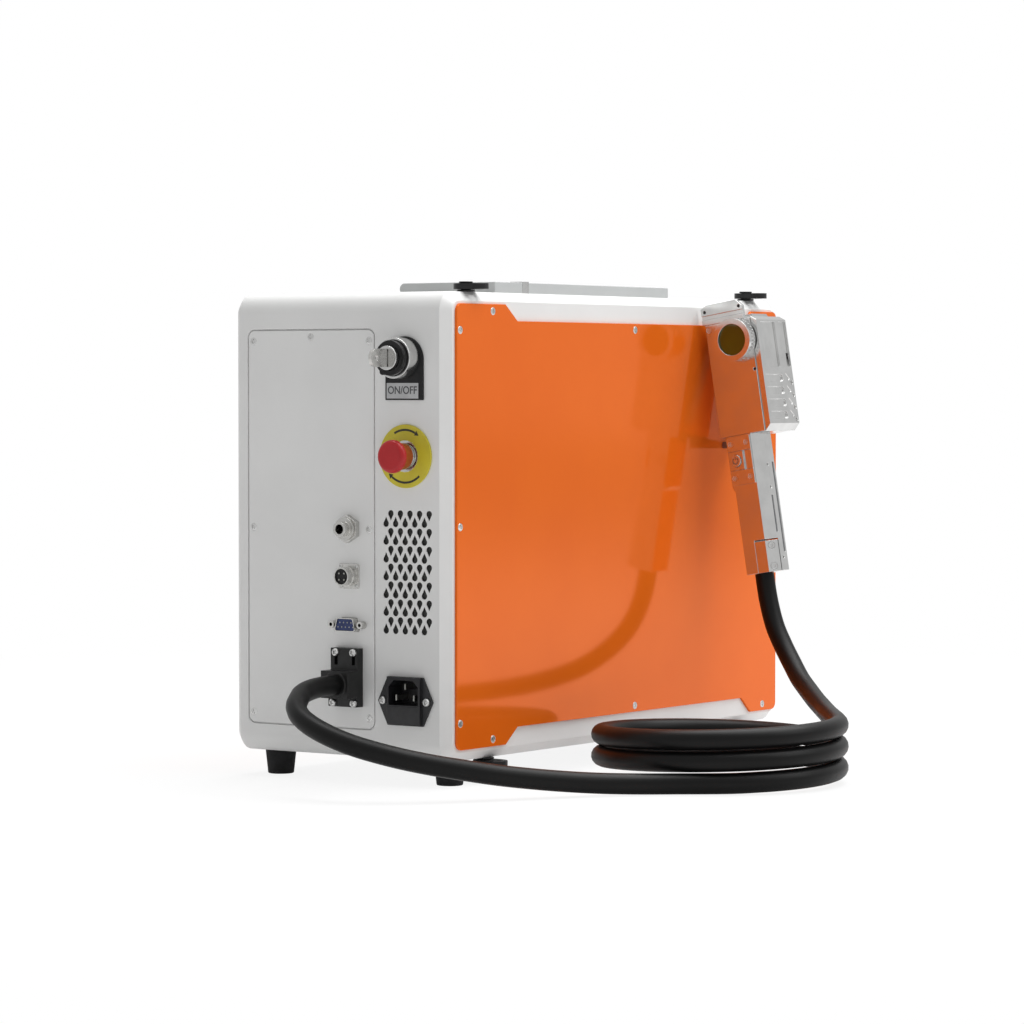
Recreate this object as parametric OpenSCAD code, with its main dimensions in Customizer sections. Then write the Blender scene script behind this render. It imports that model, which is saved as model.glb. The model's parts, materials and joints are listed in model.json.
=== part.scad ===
// Laser cleaning machine: a sheet steel cabinet with a hand-held scanning gun on a fixed hose.
// Millimetres, +Z up. X runs along the cabinet, the connector face looks to -X and the fan face to +X.
// The gun stands before the -Y side panel. The origin is under the middle of the whole machine,
// hose left out, on the surface that the feet stand on.

/* [Cabinet] */
// Length of the shell from the connector face to the fan face
shell_l = 442; // [430:1:520]
// Width of the shell without its side panels
shell_w = 188; // [184:1:220]
// Height of the shell without its feet
shell_h = 325; // [318:1:370]
// Thickness of the bent sheet
sheet_t = 2; // [1.5:0.1:2.5]
// Radius of the four long bends
bend_r = 14; // [12:0.5:18]
// Flat 45 degree cut round each side
edge_cut = 6.5; // [4:0.5:8]
// Height of the feet
foot_h = 18; // [14:1:26]
// Diameter of a foot where it meets the shell
foot_top_d = 22.4; // [20:0.2:24]
// Diameter of a foot on the ground
foot_low_d = 18.5; // [16:0.5:20]

/* [Side panels] */
// Thickness of the orange side panels
panel_t = 2; // [1.8:0.1:3]
// How far the panels stay inside the ends of the shell
panel_in_l = 7; // [6:0.5:9]
// How far the tabs of the panels stay inside the top and bottom
panel_in_h = 8.4; // [7.5:0.1:10]
// Depth of the step from a tab to the long edge
tab_step = 11.5; // [8:0.5:14]
// Length of the tab at the connector end
near_tab_l = 60.9; // [54:0.1:70]
// Length of the tab at the fan end
far_tab_l = 37.4; // [32:0.1:45]
// Corner radius of the panels
panel_r = 5.5; // [3:0.5:8]

/* [Service panel] */
// Width of the flush panel in the connector face
service_w = 110.7; // [106:0.1:113]
// Space left above the service panel
service_top_gap = 26.4; // [22:0.1:30]
// Space left below the service panel
service_low_gap = 21; // [18:0.5:24]
// Space between the service panel and the edge cut of the +Y side
service_side_gap = 8.3; // [7:0.1:10]
// Corner radius of the service panel
service_r = 5; // [3:0.5:7]
// Open joint round the service panel
joint_gap = 1; // [0.6:0.1:1.4]

/* [Vents] */
// Drops in one row
vent_columns = 5; // [3:1:5]
// Pairs of rows
vent_rows = 7; // [4:1:7]
// Distance between drops in a row
vent_pitch_y = 8.2; // [7.6:0.1:8.4]
// Distance between pairs of rows
vent_pitch_z = 12.35; // [11.8:0.05:12.6]
// Diameter of the round end of a drop
vent_d = 4.7; // [3.6:0.1:5]
// Length of a drop
vent_l = 7.3; // [6:0.1:8]

/* [Key switch] */
// Width of the black legend plate
legend_w = 32.1; // [30:0.1:36]
// Outer diameter of the bright bezel
bezel_d = 28.4; // [27.5:0.1:30]
// Outer diameter of the black barrel
barrel_d = 24.5; // [24:0.1:25.2]
// Diameter of the threaded part behind the barrel
key_thread_d = 22; // [20:0.1:23]
// Reach of the barrel in front of the face
barrel_reach = 18; // [15:0.5:20]
// Diameter of the turning lock
rotor_d = 16.8; // [15:0.1:18]
// Thickness of the key blade
blade_t = 2; // [1.6:0.1:2.4]
// Height of the key blade
blade_h = 8; // [7:0.1:9]
// Reach of the whole key in front of the face
key_reach = 40; // [38:0.5:44]

/* [Emergency stop] */
// Diameter of the yellow ring
stop_ring_d = 44; // [40:0.5:46]
// Diameter of the red head
stop_head_d = 23; // [21:0.5:28]
// Reach of the red head in front of the face
stop_reach = 19.5; // [18.5:0.5:24]
// Diameter of the threaded body through the face
stop_body_d = 16; // [14:0.1:16.2]
// Way that the head can be pushed in
stop_travel = 2.5; // [2:0.1:2.7]

/* [Mains inlet] */
// Width of the flange from tip to tip
inlet_w = 46.4; // [46:0.2:50]
// Height of the flange
inlet_h = 33.8; // [33:0.1:36]
// Width of the raised block
inlet_block_w = 28.2; // [27:0.1:28.6]
// Reach of the raised block in front of the face
inlet_reach = 4.2; // [4:0.1:6]
// Depth of the inlet behind the face
inlet_depth = 26; // [22:1:30]

/* [Hose] */
// Outer diameter of the hose
hose_d = 14.4; // [12:0.1:14.5]
// Reach of the hose block with its collar
gland_reach = 19; // [18.5:0.5:19]
// Radius of the coil at the middle of its turns
coil_r = 83; // [75:1:85]
// Turns in the coil
coil_turns = 2.25; // [2.25]
// Climb of the coil for each turn
coil_pitch = 15; // [15:0.1:15.5]

/* [Connectors] */
// Corner to corner size of the gas port nut
nut_corners = 20; // [18:0.5:22]
// Outer diameter of the gas port thread
gas_thread_d = 13.9; // [12:0.1:14.5]
// Bore of the gas port
gas_bore_d = 6.8; // [5:0.1:8]
// Side of the square flange of the round socket
signal_flange = 17.5; // [16.5:0.1:20]
// Barrel diameter of the round socket
signal_d = 12.8; // [12:0.1:13.5]
// Distance between the jackscrews of the 9 pin connector
jack_pitch = 25; // [24:0.1:27]
// Width of the metal rim of the 9 pin connector
dsub_w = 17.5; // [16:0.1:17.5]
// Height of the metal rim of the 9 pin connector
dsub_h = 9.4; // [8:0.1:9.6]

/* [Handle and strap rings] */
// Length of the folding handle
handle_l = 229.6; // [200:1:240]
// Distance from the front of the handle bar to its pivots
handle_reach = 84.3; // [70:0.1:86]
// Thickness of the handle
handle_t = 8.5; // [8:0.1:10]
// Width of the handle bar
bar_w = 11; // [9:0.5:13]
// Diameter of the pivot pins
pivot_d = 5; // [4:0.1:5.5]
// Radius of a strap ring round its hub
ring_hub_r = 8.6; // [8:0.1:9.5]
// Radius of a strap ring round its eye
ring_eye_r = 7.5; // [7:0.1:8.2]
// Radius of the eye
eye_r = 4; // [3.8:0.1:4.4]
// Thickness of a strap ring
ring_t = 4; // [3:0.1:4.2]

/* [Fan] */
// Side of the square fan
fan_side = 120; // [110:1:126]
// Depth of the fan
fan_depth = 25; // [22:1:30]
// Blades of the fan
fan_blades = 7; // [5:1:9]
// Diameter of the wire of the guard
wire_d = 2.4; // [2:0.1:2.6]

/* [Inside] */
// Length of the laser source
source_l = 240; // [200:5:250]
// Width of the laser source
source_w = 92; // [80:1:94]
// Height of the laser source
source_h = 130; // [110:1:135]
// Length of the power supply
supply_l = 215; // [180:5:230]
// Width of the power supply
supply_w = 50; // [40:1:52]
// Height of the power supply
supply_h = 115; // [90:1:130]

/* [Gun] */
// Lean of the gun towards the cabinet in degrees
gun_lean = 9.3; // [9.3]
// Length of the head behind the lens ring
head_l = 43.5; // [40:0.5:48]
// Width of the head between cover and back
head_w = 39.5; // [37:0.5:40]
// Height of the head
head_h = 85.5; // [80:0.5:90]
// Thickness of the side cover
cover_t = 5; // [4:0.1:6]
// Outer diameter of the lens ring
lens_ring_d = 32; // [28:0.5:32]
// Length of the lens ring
lens_ring_l = 8.5; // [7:0.5:10]
// Diameter of the protective window
window_d = 24.6; // [22:0.1:25]
// Depth of the grip from front to back
grip_l = 25; // [24:0.5:27]
// Width of the grip
grip_w = 29.6; // [28.5:0.1:31]
// Length of the grip below the head
grip_h = 104.5; // [104.5]
// Diameter of the push button
button_d = 8.8; // [8:0.1:9.4]
// Way that the button can be pushed in
button_travel = 1; // [0.6:0.1:1]

/* [Fits] */
// Clearance of parts that slide or turn, and of screws in their holes
fit = 0.08; // [0.05:0.01:0.1]
// Clearance between soft or swinging parts and their neighbours
ease = 0.3; // [0.25:0.05:0.35]

/* [Hidden] */
$fn = 48;

// Colours
white_paint = "#c6c6c4";
orange_paint = "#e2702f";
bright_steel = "#cfcfcd";
black_plastic = "#232325";
aluminium_grey = "#b9bbbd";

// One overrun for every cut
over = 1;

// Heights of the cabinet
base_z = foot_h;
top_z = foot_h + shell_h;
mid_z = foot_h + shell_h / 2;
face_x = -shell_l / 2;
side_y = shell_w / 2;
skin_y = side_y + panel_t;

// Place of the gun, seen from the middle of the cabinet
gun_x_share = 0.2102;
gun_x = shell_l * gun_x_share;
gun_off = 33.5;
gun_y = -skin_y - gun_off;
gun_drop = 31.1;
gun_z = top_z - gun_drop;
// Distance of the lens axis from the cover side and from the top of the head
lens_in = 13;
lens_down = 15;
head_low = lens_down - head_h;
head_x = lens_ring_l;
head_end = head_x + head_l;
grip_low = head_low - grip_h;
grip_side = 6.3;
guard_reach = 4;

// The cabinet stands off the origin, so that the whole machine is centred on it
gun_low_y = gun_y - grip_side * cos(gun_lean) + grip_low * sin(gun_lean);
cab_x = (key_reach - guard_reach) / 2;
cab_y = -(gun_low_y + skin_y) / 2;

module in_frame() translate([cab_x, cab_y, 0]) children();

// Local x points up, y to +Y and z out of the connector face
module on_face(y, rise) translate([face_x, y, mid_z + rise]) rotate([0, -90, 0]) children();

// Local x points to +X, y up and z out of the -Y side panel
module on_side(x, rise) translate([x, -skin_y, mid_z + rise]) rotate([90, 0, 0]) children();

// The gun's own frame: x from the rim of the lens ring into the head, y to the cabinet, z up the gun
module in_gun() translate([gun_x, gun_y, gun_z]) rotate([-gun_lean, 0, 0]) children();

// Local x points up the gun, y to the cabinet and z out of the front of the head
module on_gun_front(y, rise) translate([head_x, y, rise]) rotate([0, -90, 0]) children();

// Local x points away from the lens, y up the gun and z out of the cover
module on_cover(x, rise) translate([x, -lens_in - cover_t, rise]) rotate([90, 0, 0]) children();

module rounded(w, h, r) {
  square([w - 2 * r, h], center = true);
  square([w, h - 2 * r], center = true);
  for (sx = [-1, 1], sy = [-1, 1]) translate([sx * (w / 2 - r), sy * (h / 2 - r)]) circle(r);
}

module plate(w, h, t, r) linear_extrude(t) rounded(w, h, r);

module block(x0, x1, y0, y1, z0, z1) translate([x0, y0, z0]) cube([x1 - x0, y1 - y0, z1 - z0]);

module disc(d, z0, z1) translate([0, 0, z0]) cylinder(h = z1 - z0, d = d);

module corners(dx, dy) for (sx = [-1, 1], sy = [-1, 1]) translate([sx * dx, sy * dy]) children();

// Screws point to -z, with the top of the head, or its seat on a pan head, at z = 0
screw_d = 3;
screw_head_d = 5.6;
screw_l = 6;
cross_w = 0.6;
cross_share = 0.55;

module cross(d, top, depth) {
  for (turn = [0, 90]) rotate(turn)
    block(-d * cross_share / 2, d * cross_share / 2, -cross_w / 2, cross_w / 2, top - depth, top + over);
}

module csk_screw(d, head, l) {
  head_h = (head - d) / 2;
  difference() {
    union() {
      translate([0, 0, -head_h]) cylinder(h = head_h, d1 = d, d2 = head);
      disc(d, -l, -head_h);
    }
    cross(head, 0, head_h * cross_share);
  }
}

module csk_hole(d, head, l) {
  head_h = (head - d) / 2;
  translate([0, 0, -head_h]) cylinder(h = head_h, d1 = d + 2 * fit, d2 = head + 2 * fit);
  disc(head + 2 * fit, 0, over);
  disc(d + 2 * fit, -l - over, 0);
}

module pan_screw(d, head, head_h, l) {
  difference() {
    union() {
      disc(head, 0, head_h);
      disc(d, -l, 0);
    }
    cross(head, head_h, head_h * cross_share);
  }
}

// Shell: a rounded tube along Y whose two rims are cut at 45 degrees
window_in_l = 21;
window_in_h = 32.5;
window_r = 6;
ledge_t = 1.5;
ledge_w = 5.8;
ledge_out = 5;
service_h = shell_h - service_top_gap - service_low_gap;
service_y = side_y - edge_cut - service_side_gap - service_w / 2;
service_rise = (service_low_gap - service_top_gap) / 2;
service_low_y = service_y - service_w / 2;

module taper(base, rise, cut) {
  polygon([[-base / 2, 0], [base / 2, 0], [base / 2 - cut, rise], [-base / 2 + cut, rise]]);
}

module cut_block(l, w, h, r, cut) {
  flat_w = w - 2 * cut;
  rotate([90, 0, 0]) {
    linear_extrude(flat_w, center = true) rounded(l, h, r);
    for (side = [0, 1]) mirror([0, 0, side]) translate([0, 0, flat_w / 2]) {
      corners(l / 2 - r, h / 2 - r) cylinder(h = cut, r1 = r, r2 = r - cut);
      rotate([90, 0, 90]) linear_extrude(l - 2 * r, center = true) taper(h, cut, cut);
      rotate([90, 0, 0]) linear_extrude(h - 2 * r, center = true) taper(l, cut, cut);
    }
  }
}

// Places on the connector face, as shares of the height and distances from the panel edges
key_rise_share = 0.3584;
stop_rise_share = 0.15;
vent_rise_share = 0.0236;
inlet_rise_share = -0.3714;
gas_rise_share = -0.0074;
signal_rise_share = -0.1091;
dsub_rise_share = -0.2133;
hose_rise_share = -0.34;
key_rise = shell_h * key_rise_share;
stop_rise = shell_h * stop_rise_share;
vent_rise = shell_h * vent_rise_share;
inlet_rise = shell_h * inlet_rise_share;
gas_rise = shell_h * gas_rise_share;
signal_rise = shell_h * signal_rise_share;
dsub_rise = shell_h * dsub_rise_share;
hose_rise = shell_h * hose_rise_share;
key_in = 35.9;
stop_in = 34.5;
inlet_in = 34.4;
vent_in = 48;
port_in = 21.3;
dsub_aside = 0.3;
hose_aside = -0.8;
key_y = -side_y + key_in;
stop_y = -side_y + stop_in;
inlet_y = -side_y + inlet_in;
vent_y = -side_y + vent_in;
port_y = service_low_y + port_in;
dsub_y = port_y + dsub_aside;
hose_y = port_y + hose_aside;

// The straight sides run a little into the round end
drop_into = 0.96;

module drop() {
  r = vent_d / 2;
  low = r * drop_into;
  reach = vent_l - r;
  turn = acos(r / reach);
  translate([vent_l / 2 - r, 0]) {
    circle(r);
    polygon([[-reach, 0], [-low * cos(turn), low * sin(turn)], [-low * cos(turn), -low * sin(turn)]]);
  }
}

// Upright drops sit between hanging ones, half a pitch aside and this share of a row pitch lower
vent_lower_share = 0.36;

module vents() {
  for (row = [0 : vent_rows - 1], column = [0 : vent_columns - 1]) {
    translate([-row * vent_pitch_z, -column * vent_pitch_y]) drop();
    translate([-(row + vent_lower_share) * vent_pitch_z, (1 / 2 - column) * vent_pitch_y])
      mirror([1, 0]) drop();
  }
}

// The sheet is thinned from inside behind the vents, with a rim round them
vent_skin = 0.8;
vent_rim = 1;
vent_up = vent_l / 2 + vent_rim;
vent_down = (vent_rows - 1 + vent_lower_share) * vent_pitch_z + vent_up;
vent_first = (vent_pitch_y + vent_d) / 2 + vent_rim;
vent_last = (vent_columns - 1) * vent_pitch_y + vent_d / 2 + vent_rim;

// Fan in the upper part of the +X wall
fan_top_gap = 28;
fan_rise = shell_h / 2 - fan_top_gap - fan_side / 2;
fan_open_share = 0.9333;
fan_open_d = fan_side * fan_open_share;
fan_bolt_share = 0.4375;
fan_bolt = fan_side * fan_bolt_share;

module on_fan() translate([shell_l / 2, 0, mid_z + fan_rise]) rotate([0, 90, 0]) children();

// Feet and their screws
foot_in_x = 30.3;
foot_in_y = 19.4;
foot_x = shell_l / 2 - foot_in_x;
foot_y = side_y - foot_in_y;
m4_d = 3.9;
m4_head_d = 8;
m4_head_h = 2.4;
foot_sink = 9;

// Screws of the side panels, from the panel's own edges
side_half_l = shell_l / 2 - panel_in_l;
tab_rise = shell_h / 2 - panel_in_h;
long_rise = tab_rise - tab_step;
near_slant = 14.7;
far_slant = 13.3;
screw_in_l = 6.3;
screw_in_h = 7;
screw_in_tab = 5;
screw_in_edge = 4.6;
near_tab_screw = 45.5;
far_tab_screw = 19.7;
mid_screw_share = 0.03;
side_screws = [
  [-side_half_l + screw_in_l, long_rise - screw_in_h],
  [-side_half_l + screw_in_l, 0],
  [-side_half_l + screw_in_l, -long_rise + screw_in_h],
  [-side_half_l + near_tab_screw, tab_rise - screw_in_tab],
  [-side_half_l + near_tab_screw, -tab_rise + screw_in_tab],
  [shell_l * mid_screw_share, long_rise - screw_in_edge],
  [shell_l * mid_screw_share, -long_rise + screw_in_edge],
  [side_half_l - far_tab_screw, tab_rise - screw_in_tab],
  [side_half_l - far_tab_screw, -tab_rise + screw_in_tab]
];

// Screws of the service panel, from its middle: x up, y across
service_in_y = 4.25;
service_in_z = 7.3;
service_in_mid = 4.5;
service_screws = [
  for (s = [-1, 1], t = [-1, 1]) [s * (service_h / 2 - service_in_z), t * (service_w / 2 - service_in_y)],
  for (s = [-1, 1]) [s * (service_h / 2 - service_in_mid), 0],
  for (t = [-1, 1]) [0, t * (service_w / 2 - service_in_y)]
];

module shell() in_frame() color(white_paint) difference() {
  union() {
    difference() {
      translate([0, 0, mid_z]) cut_block(shell_l, shell_w, shell_h, bend_r, edge_cut);
      translate([0, 0, mid_z])
        cut_block(shell_l - 2 * sheet_t, shell_w - 2 * sheet_t, shell_h - 2 * sheet_t, bend_r - sheet_t,
                  edge_cut);
    }
    on_face(service_y, service_rise) translate([0, 0, -sheet_t - ledge_t])
      plate(service_h + 2 * ledge_out, service_w + 2 * ledge_out, sheet_t / 2 + ledge_t, service_r + ledge_out);
  }
  translate([0, 0, mid_z]) rotate([90, 0, 0]) linear_extrude(shell_w + 2 * over, center = true)
    rounded(shell_l - 2 * window_in_l, shell_h - 2 * window_in_h, window_r);
  on_face(service_y, service_rise) {
    translate([0, 0, -sheet_t])
      plate(service_h + 2 * joint_gap, service_w + 2 * joint_gap, sheet_t + over, service_r + joint_gap);
    translate([0, 0, -sheet_t - ledge_t - over])
      plate(service_h - 2 * ledge_w, service_w - 2 * ledge_w, ledge_t + 2 * over, service_r);
    for (p = service_screws) translate(p) disc(screw_d + 2 * fit, -sheet_t - ledge_t - over, 0);
  }
  on_face(key_y, key_rise) disc(key_thread_d + 4 * fit, -sheet_t - over, over);
  on_face(stop_y, stop_rise) disc(stop_body_d + 2 * fit, -sheet_t - over, over);
  on_face(inlet_y, inlet_rise) translate([0, 0, -sheet_t - over])
    plate(inlet_body_h + 2 * ease, inlet_block_w + 2 * ease, sheet_t + 2 * over, ease);
  on_face(inlet_y, inlet_rise) for (s = [-1, 1]) translate([0, s * inlet_screw])
    disc(screw_d + 2 * fit, -sheet_t - over, over);
  on_face(vent_y, vent_rise) {
    translate([0, 0, -sheet_t - over]) linear_extrude(sheet_t + 2 * over) vents();
    block(-vent_down, vent_up, -vent_last, vent_first, -sheet_t - over, -vent_skin);
  }
  for (side = [0, 1]) mirror([0, side, 0]) for (p = side_screws) on_side(p[0], p[1])
    disc(screw_d + 2 * fit, -panel_t - sheet_t - over, over);
  on_fan() {
    disc(fan_open_d, -sheet_t - over, over);
    corners(fan_bolt, fan_bolt) disc(m4_d + 2 * fit, -sheet_t - over, over);
  }
  corners(foot_x, foot_y) disc(m4_d + 2 * fit, base_z - over, base_z + sheet_t + over);
}

// Side panels, with long edges drawn in between two tabs
panel_near_in = 2.2;

module panel_outline() {
  near = -side_half_l + near_tab_l;
  far = side_half_l - far_tab_l;
  difference() {
    translate([panel_near_in / 2, 0]) rounded(2 * side_half_l - panel_near_in, 2 * tab_rise, panel_r);
    for (s = [0, 1]) mirror([0, s]) polygon([
      [near, tab_rise + over], [near, tab_rise], [near + near_slant, long_rise],
      [far - far_slant, long_rise], [far, tab_rise], [far, tab_rise + over]
    ]);
  }
}

module side_panel() difference() {
  on_side(0, 0) translate([0, 0, -panel_t]) linear_extrude(panel_t) panel_outline();
  for (p = side_screws) on_side(p[0], p[1]) csk_hole(screw_d, screw_head_d, panel_t);
}

module side_panel_right() in_frame() color(orange_paint) difference() {
  side_panel();
  for (rise = holder_screws) on_side(holder_mid, rise) disc(screw_d + 2 * fit, -panel_t - over, over);
}

module side_panel_left() in_frame() color(orange_paint) mirror([0, 1, 0]) side_panel();

module panel_screws() in_frame() color(bright_steel) {
  for (side = [0, 1]) mirror([0, side, 0]) for (p = side_screws) on_side(p[0], p[1])
    csk_screw(screw_d, screw_head_d, screw_l);
  on_face(service_y, service_rise) for (p = service_screws) translate(p)
    csk_screw(screw_d, screw_head_d, screw_l);
  for (rise = holder_screws) on_side(holder_mid, rise) translate([0, 0, holder_t])
    csk_screw(screw_d, screw_head_d, screw_l);
}

// Service panel, flush in its recess, with the connectors' holes
module service_panel() in_frame() color(white_paint) difference() {
  on_face(service_y, service_rise) translate([0, 0, -sheet_t]) plate(service_h, service_w, sheet_t, service_r);
  on_face(service_y, service_rise) for (p = service_screws) translate(p)
    csk_hole(screw_d, screw_head_d, sheet_t);
  on_face(port_y, gas_rise) disc(gas_thread_d + 2 * fit, -sheet_t - over, over);
  on_face(port_y, signal_rise) {
    disc(signal_d - 2 * fit, -sheet_t - over, over);
    corners(signal_screw, signal_screw) disc(small_screw_d + 2 * fit, -sheet_t - over, over);
  }
  on_face(dsub_y, dsub_rise) {
    translate([0, 0, -sheet_t - over]) linear_extrude(sheet_t + 2 * over)
      d_outline(dsub_w + 2 * fit, dsub_h + 2 * fit);
    for (s = [-1, 1]) translate([0, s * jack_pitch / 2]) disc(jack_body_d + 2 * fit, -sheet_t - over, over);
  }
  on_face(hose_y, hose_rise) {
    disc(hose_d, -sheet_t - over, over);
    for (p = gland_screws) translate(p) disc(screw_d + 2 * fit, -sheet_t - over, over);
  }
}

module feet() in_frame() color(black_plastic) corners(foot_x, foot_y) difference() {
  cylinder(h = foot_h, d1 = foot_low_d, d2 = foot_top_d);
  disc(m4_head_d + over, -over, foot_sink);
  disc(m4_d + 2 * fit, 0, foot_h + over);
}

module pan_screws() in_frame() color(bright_steel) {
  corners(foot_x, foot_y) translate([0, 0, foot_sink]) rotate([180, 0, 0])
    pan_screw(m4_d, m4_head_d, m4_head_h, foot_h - foot_sink + sheet_t + 2 * tray_t);
  on_fan() corners(fan_bolt, fan_bolt) translate([0, 0, ear_t])
    pan_screw(m4_d, m4_head_d, m4_head_h, ear_t + sheet_t + fan_depth / 2);
}

// Tray on the floor of the shell
tray_t = 2;
tray_in_x = 16;
tray_in_y = 14;
tray_x = shell_l / 2 - tray_in_x;
tray_y = side_y - tray_in_y;
tray_flange_h = 15;
tray_z = base_z + sheet_t;

module chassis_tray() in_frame() color(bright_steel) difference() {
  union() {
    block(-tray_x, tray_x, -tray_y, tray_y, tray_z, tray_z + tray_t);
    for (s = [0, 1]) mirror([0, s, 0])
      block(-tray_x, tray_x, tray_y - tray_t, tray_y, tray_z, tray_z + tray_flange_h);
  }
  corners(foot_x, foot_y) disc(m4_d + 2 * fit, tray_z - over, tray_z + tray_t + over);
}

// Laser source: a cast body with cooling grooves and four posts for the control board
deck_z = tray_z + tray_t;
source_back = 91;
source_x0 = -shell_l / 2 + source_back;
source_y0 = -tray_y + tray_t;
source_top = deck_z + source_h;
fin_count = 11;
fin_depth = 4;
fin_share = 0.4;
post_d = 6;
post_h = 8;
post_screw_d = 2.5;
board_l_share = 0.667;
board_w_share = 0.87;
board_l = source_l * board_l_share;
board_w = source_w * board_w_share;
board_t = 1.6;
post_in = 6;
board_x = source_x0 + source_l / 2;
board_y = source_y0 + source_w / 2;

module at_posts() translate([board_x, board_y, source_top])
  corners(board_l / 2 - post_in, board_w / 2 - post_in) children();

module laser_source() in_frame() color(aluminium_grey) difference() {
  union() {
    block(source_x0, source_x0 + source_l, source_y0, source_y0 + source_w, deck_z, source_top);
    at_posts() disc(post_d, -over, post_h);
  }
  fin_pitch = source_l / fin_count;
  for (i = [0 : fin_count - 1]) translate([source_x0 + (i + (1 - fin_share) / 2) * fin_pitch, 0])
    block(0, fin_pitch * fin_share, source_y0 - over, source_y0 + fin_depth, deck_z + fin_depth,
          source_top + over);
  at_posts() disc(post_screw_d, 0, post_h + over);
}

// Power supply with slots in its top
supply_back = 30;
supply_x0 = source_x0 + supply_back;
supply_in_y = 8;
supply_y1 = tray_y - supply_in_y;
supply_slots = 8;
supply_slot_w = 3;
supply_slot_share = 0.6;

module power_supply() in_frame() color("#8f9396") difference() {
  block(supply_x0, supply_x0 + supply_l, supply_y1 - supply_w, supply_y1, deck_z, deck_z + supply_h);
  slot_pitch = supply_l / (supply_slots + 1);
  for (i = [1 : supply_slots]) translate([supply_x0 + i * slot_pitch, supply_y1 - supply_w / 2])
    block(-supply_slot_w / 2, supply_slot_w / 2, -supply_w * supply_slot_share / 2,
          supply_w * supply_slot_share / 2, deck_z + supply_h - supply_slot_w, deck_z + supply_h + over);
}

// Control board with a relay, a transformer and two rows of capacitors
relay = [28, 12, 15];
transformer = [32, 28, 14];
capacitor_d = 8;
capacitor_h = 12;
capacitors = 5;

module control_board() in_frame() color("#2d6b45") translate([board_x, board_y, source_top + post_h]) {
  difference() {
    block(-board_l / 2, board_l / 2, -board_w / 2, board_w / 2, 0, board_t);
    corners(board_l / 2 - post_in, board_w / 2 - post_in) disc(post_screw_d, -over, board_t + over);
  }
  translate([-board_l / 4, 0, board_t]) {
    translate([-relay[0] / 2, board_w / 4 - relay[1] / 2]) cube(relay);
    translate([-transformer[0] / 2, -board_w / 4 - transformer[1] / 2]) cube(transformer);
  }
  capacitor_pitch = board_l / 2 / capacitors;
  for (i = [0 : capacitors - 1], s = [-1, 1])
    translate([(i + 1 / 2) * capacitor_pitch, s * board_w / 4, board_t])
      cylinder(h = capacitor_h, d = capacitor_d);
}

// Fan: a square frame on the inside of the +X wall, a rotor and a wire guard outside
fan_bore_d = fan_open_d + 2;
fan_hub_d = 38;
strut_w = 6;
strut_t = 3;
shaft_d = 5;
rotor_gap = 2;
rotor_h = fan_depth - strut_t - 2 * rotor_gap - sheet_t;
blade_tilt = 40;
fan_blade_t = 1.6;
blade_chord = rotor_h / cos(blade_tilt);
ear_d = 11;
ear_t = 1.4;
guard_rings = 5;
guard_first_r = 15;
guard_last_r = 55;

module fan_frame() in_frame() color(black_plastic) on_fan() translate([0, 0, -sheet_t - fan_depth]) difference() {
  union() {
    difference() {
      plate(fan_side, fan_side, fan_depth, window_r);
      disc(fan_bore_d, -over, fan_depth + over);
    }
    disc(fan_hub_d, 0, strut_t);
    for (turn = [45 : 90 : 315]) rotate(turn) block(0, fan_bore_d / 2 + over, -strut_w / 2, strut_w / 2, 0, strut_t);
  }
  disc(shaft_d + 2 * fit, -over, strut_t + over);
  corners(fan_bolt, fan_bolt) disc(m4_d + 2 * fit, -over, fan_depth + over);
}

module fan_rotor() in_frame() color("#3b3b3d") on_fan()
  translate([0, 0, -sheet_t - fan_depth + strut_t + rotor_gap]) {
    disc(fan_hub_d, 0, rotor_h);
    disc(shaft_d, -rotor_gap - strut_t, over);
    intersection() {
      disc(fan_open_d - 2, 0, rotor_h);
      for (i = [0 : fan_blades - 1]) rotate(i * 360 / fan_blades)
        translate([fan_open_d / 4, 0, rotor_h / 2]) rotate([90 - blade_tilt, 0, 0])
          cube([fan_open_d / 2, blade_chord, fan_blade_t], center = true);
    }
  }

module fan_guard() in_frame() color(bright_steel) on_fan() {
  step = (guard_last_r - guard_first_r) / (guard_rings - 1);
  for (i = [0 : guard_rings - 1]) translate([0, 0, guard_reach - wire_d / 2])
    rotate_extrude() translate([guard_first_r + i * step, 0]) circle(d = wire_d);
  for (turn = [45 : 90 : 315]) rotate(turn) translate([guard_first_r, 0, wire_d / 2]) rotate([0, 90, 0])
    cylinder(h = fan_bolt * sqrt(2) - guard_first_r - ear_d / 2 + over, d = wire_d);
  corners(fan_bolt, fan_bolt) difference() {
    disc(ear_d, 0, ear_t);
    disc(m4_d + 2 * fit, -over, ear_t + over);
  }
}

// Key switch
legend_t = 1.5;
legend_low = 29;
legend_drop = 1.05;
legend_aside = -0.5;
tag_w = 27.2;
tag_h = 10.9;
tag_t = 0.4;
tag_up = 1;
tag_aside = 0.4;
bezel_reach = 13.6;
bezel_seat = 3;
rotor_seat = 8;
rotor_reach = 21.3;
cam_d = 6;
key_behind = 20;
blade_from = 12;
key_head_from = 22;
key_head_h = 12.5;
key_head_t = 2.5;
key_hole_d = 4;
lug_d = 4;
lug_reach = 1;

module key_legend_plate() in_frame() color(black_plastic) on_face(key_y, key_rise) {
  difference() {
    translate([0, legend_aside]) {
      translate([-legend_drop, 0]) disc(legend_w, 0, legend_t);
      block(-legend_low, -legend_drop, -legend_w / 2, legend_w / 2, 0, legend_t);
    }
    disc(key_thread_d + 4 * fit, -over, legend_t + over);
  }
  block(-legend_low + tag_up, -legend_low + tag_up + tag_h, tag_aside - tag_w / 2, tag_aside + tag_w / 2,
        legend_t, legend_t + tag_t);
}

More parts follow.
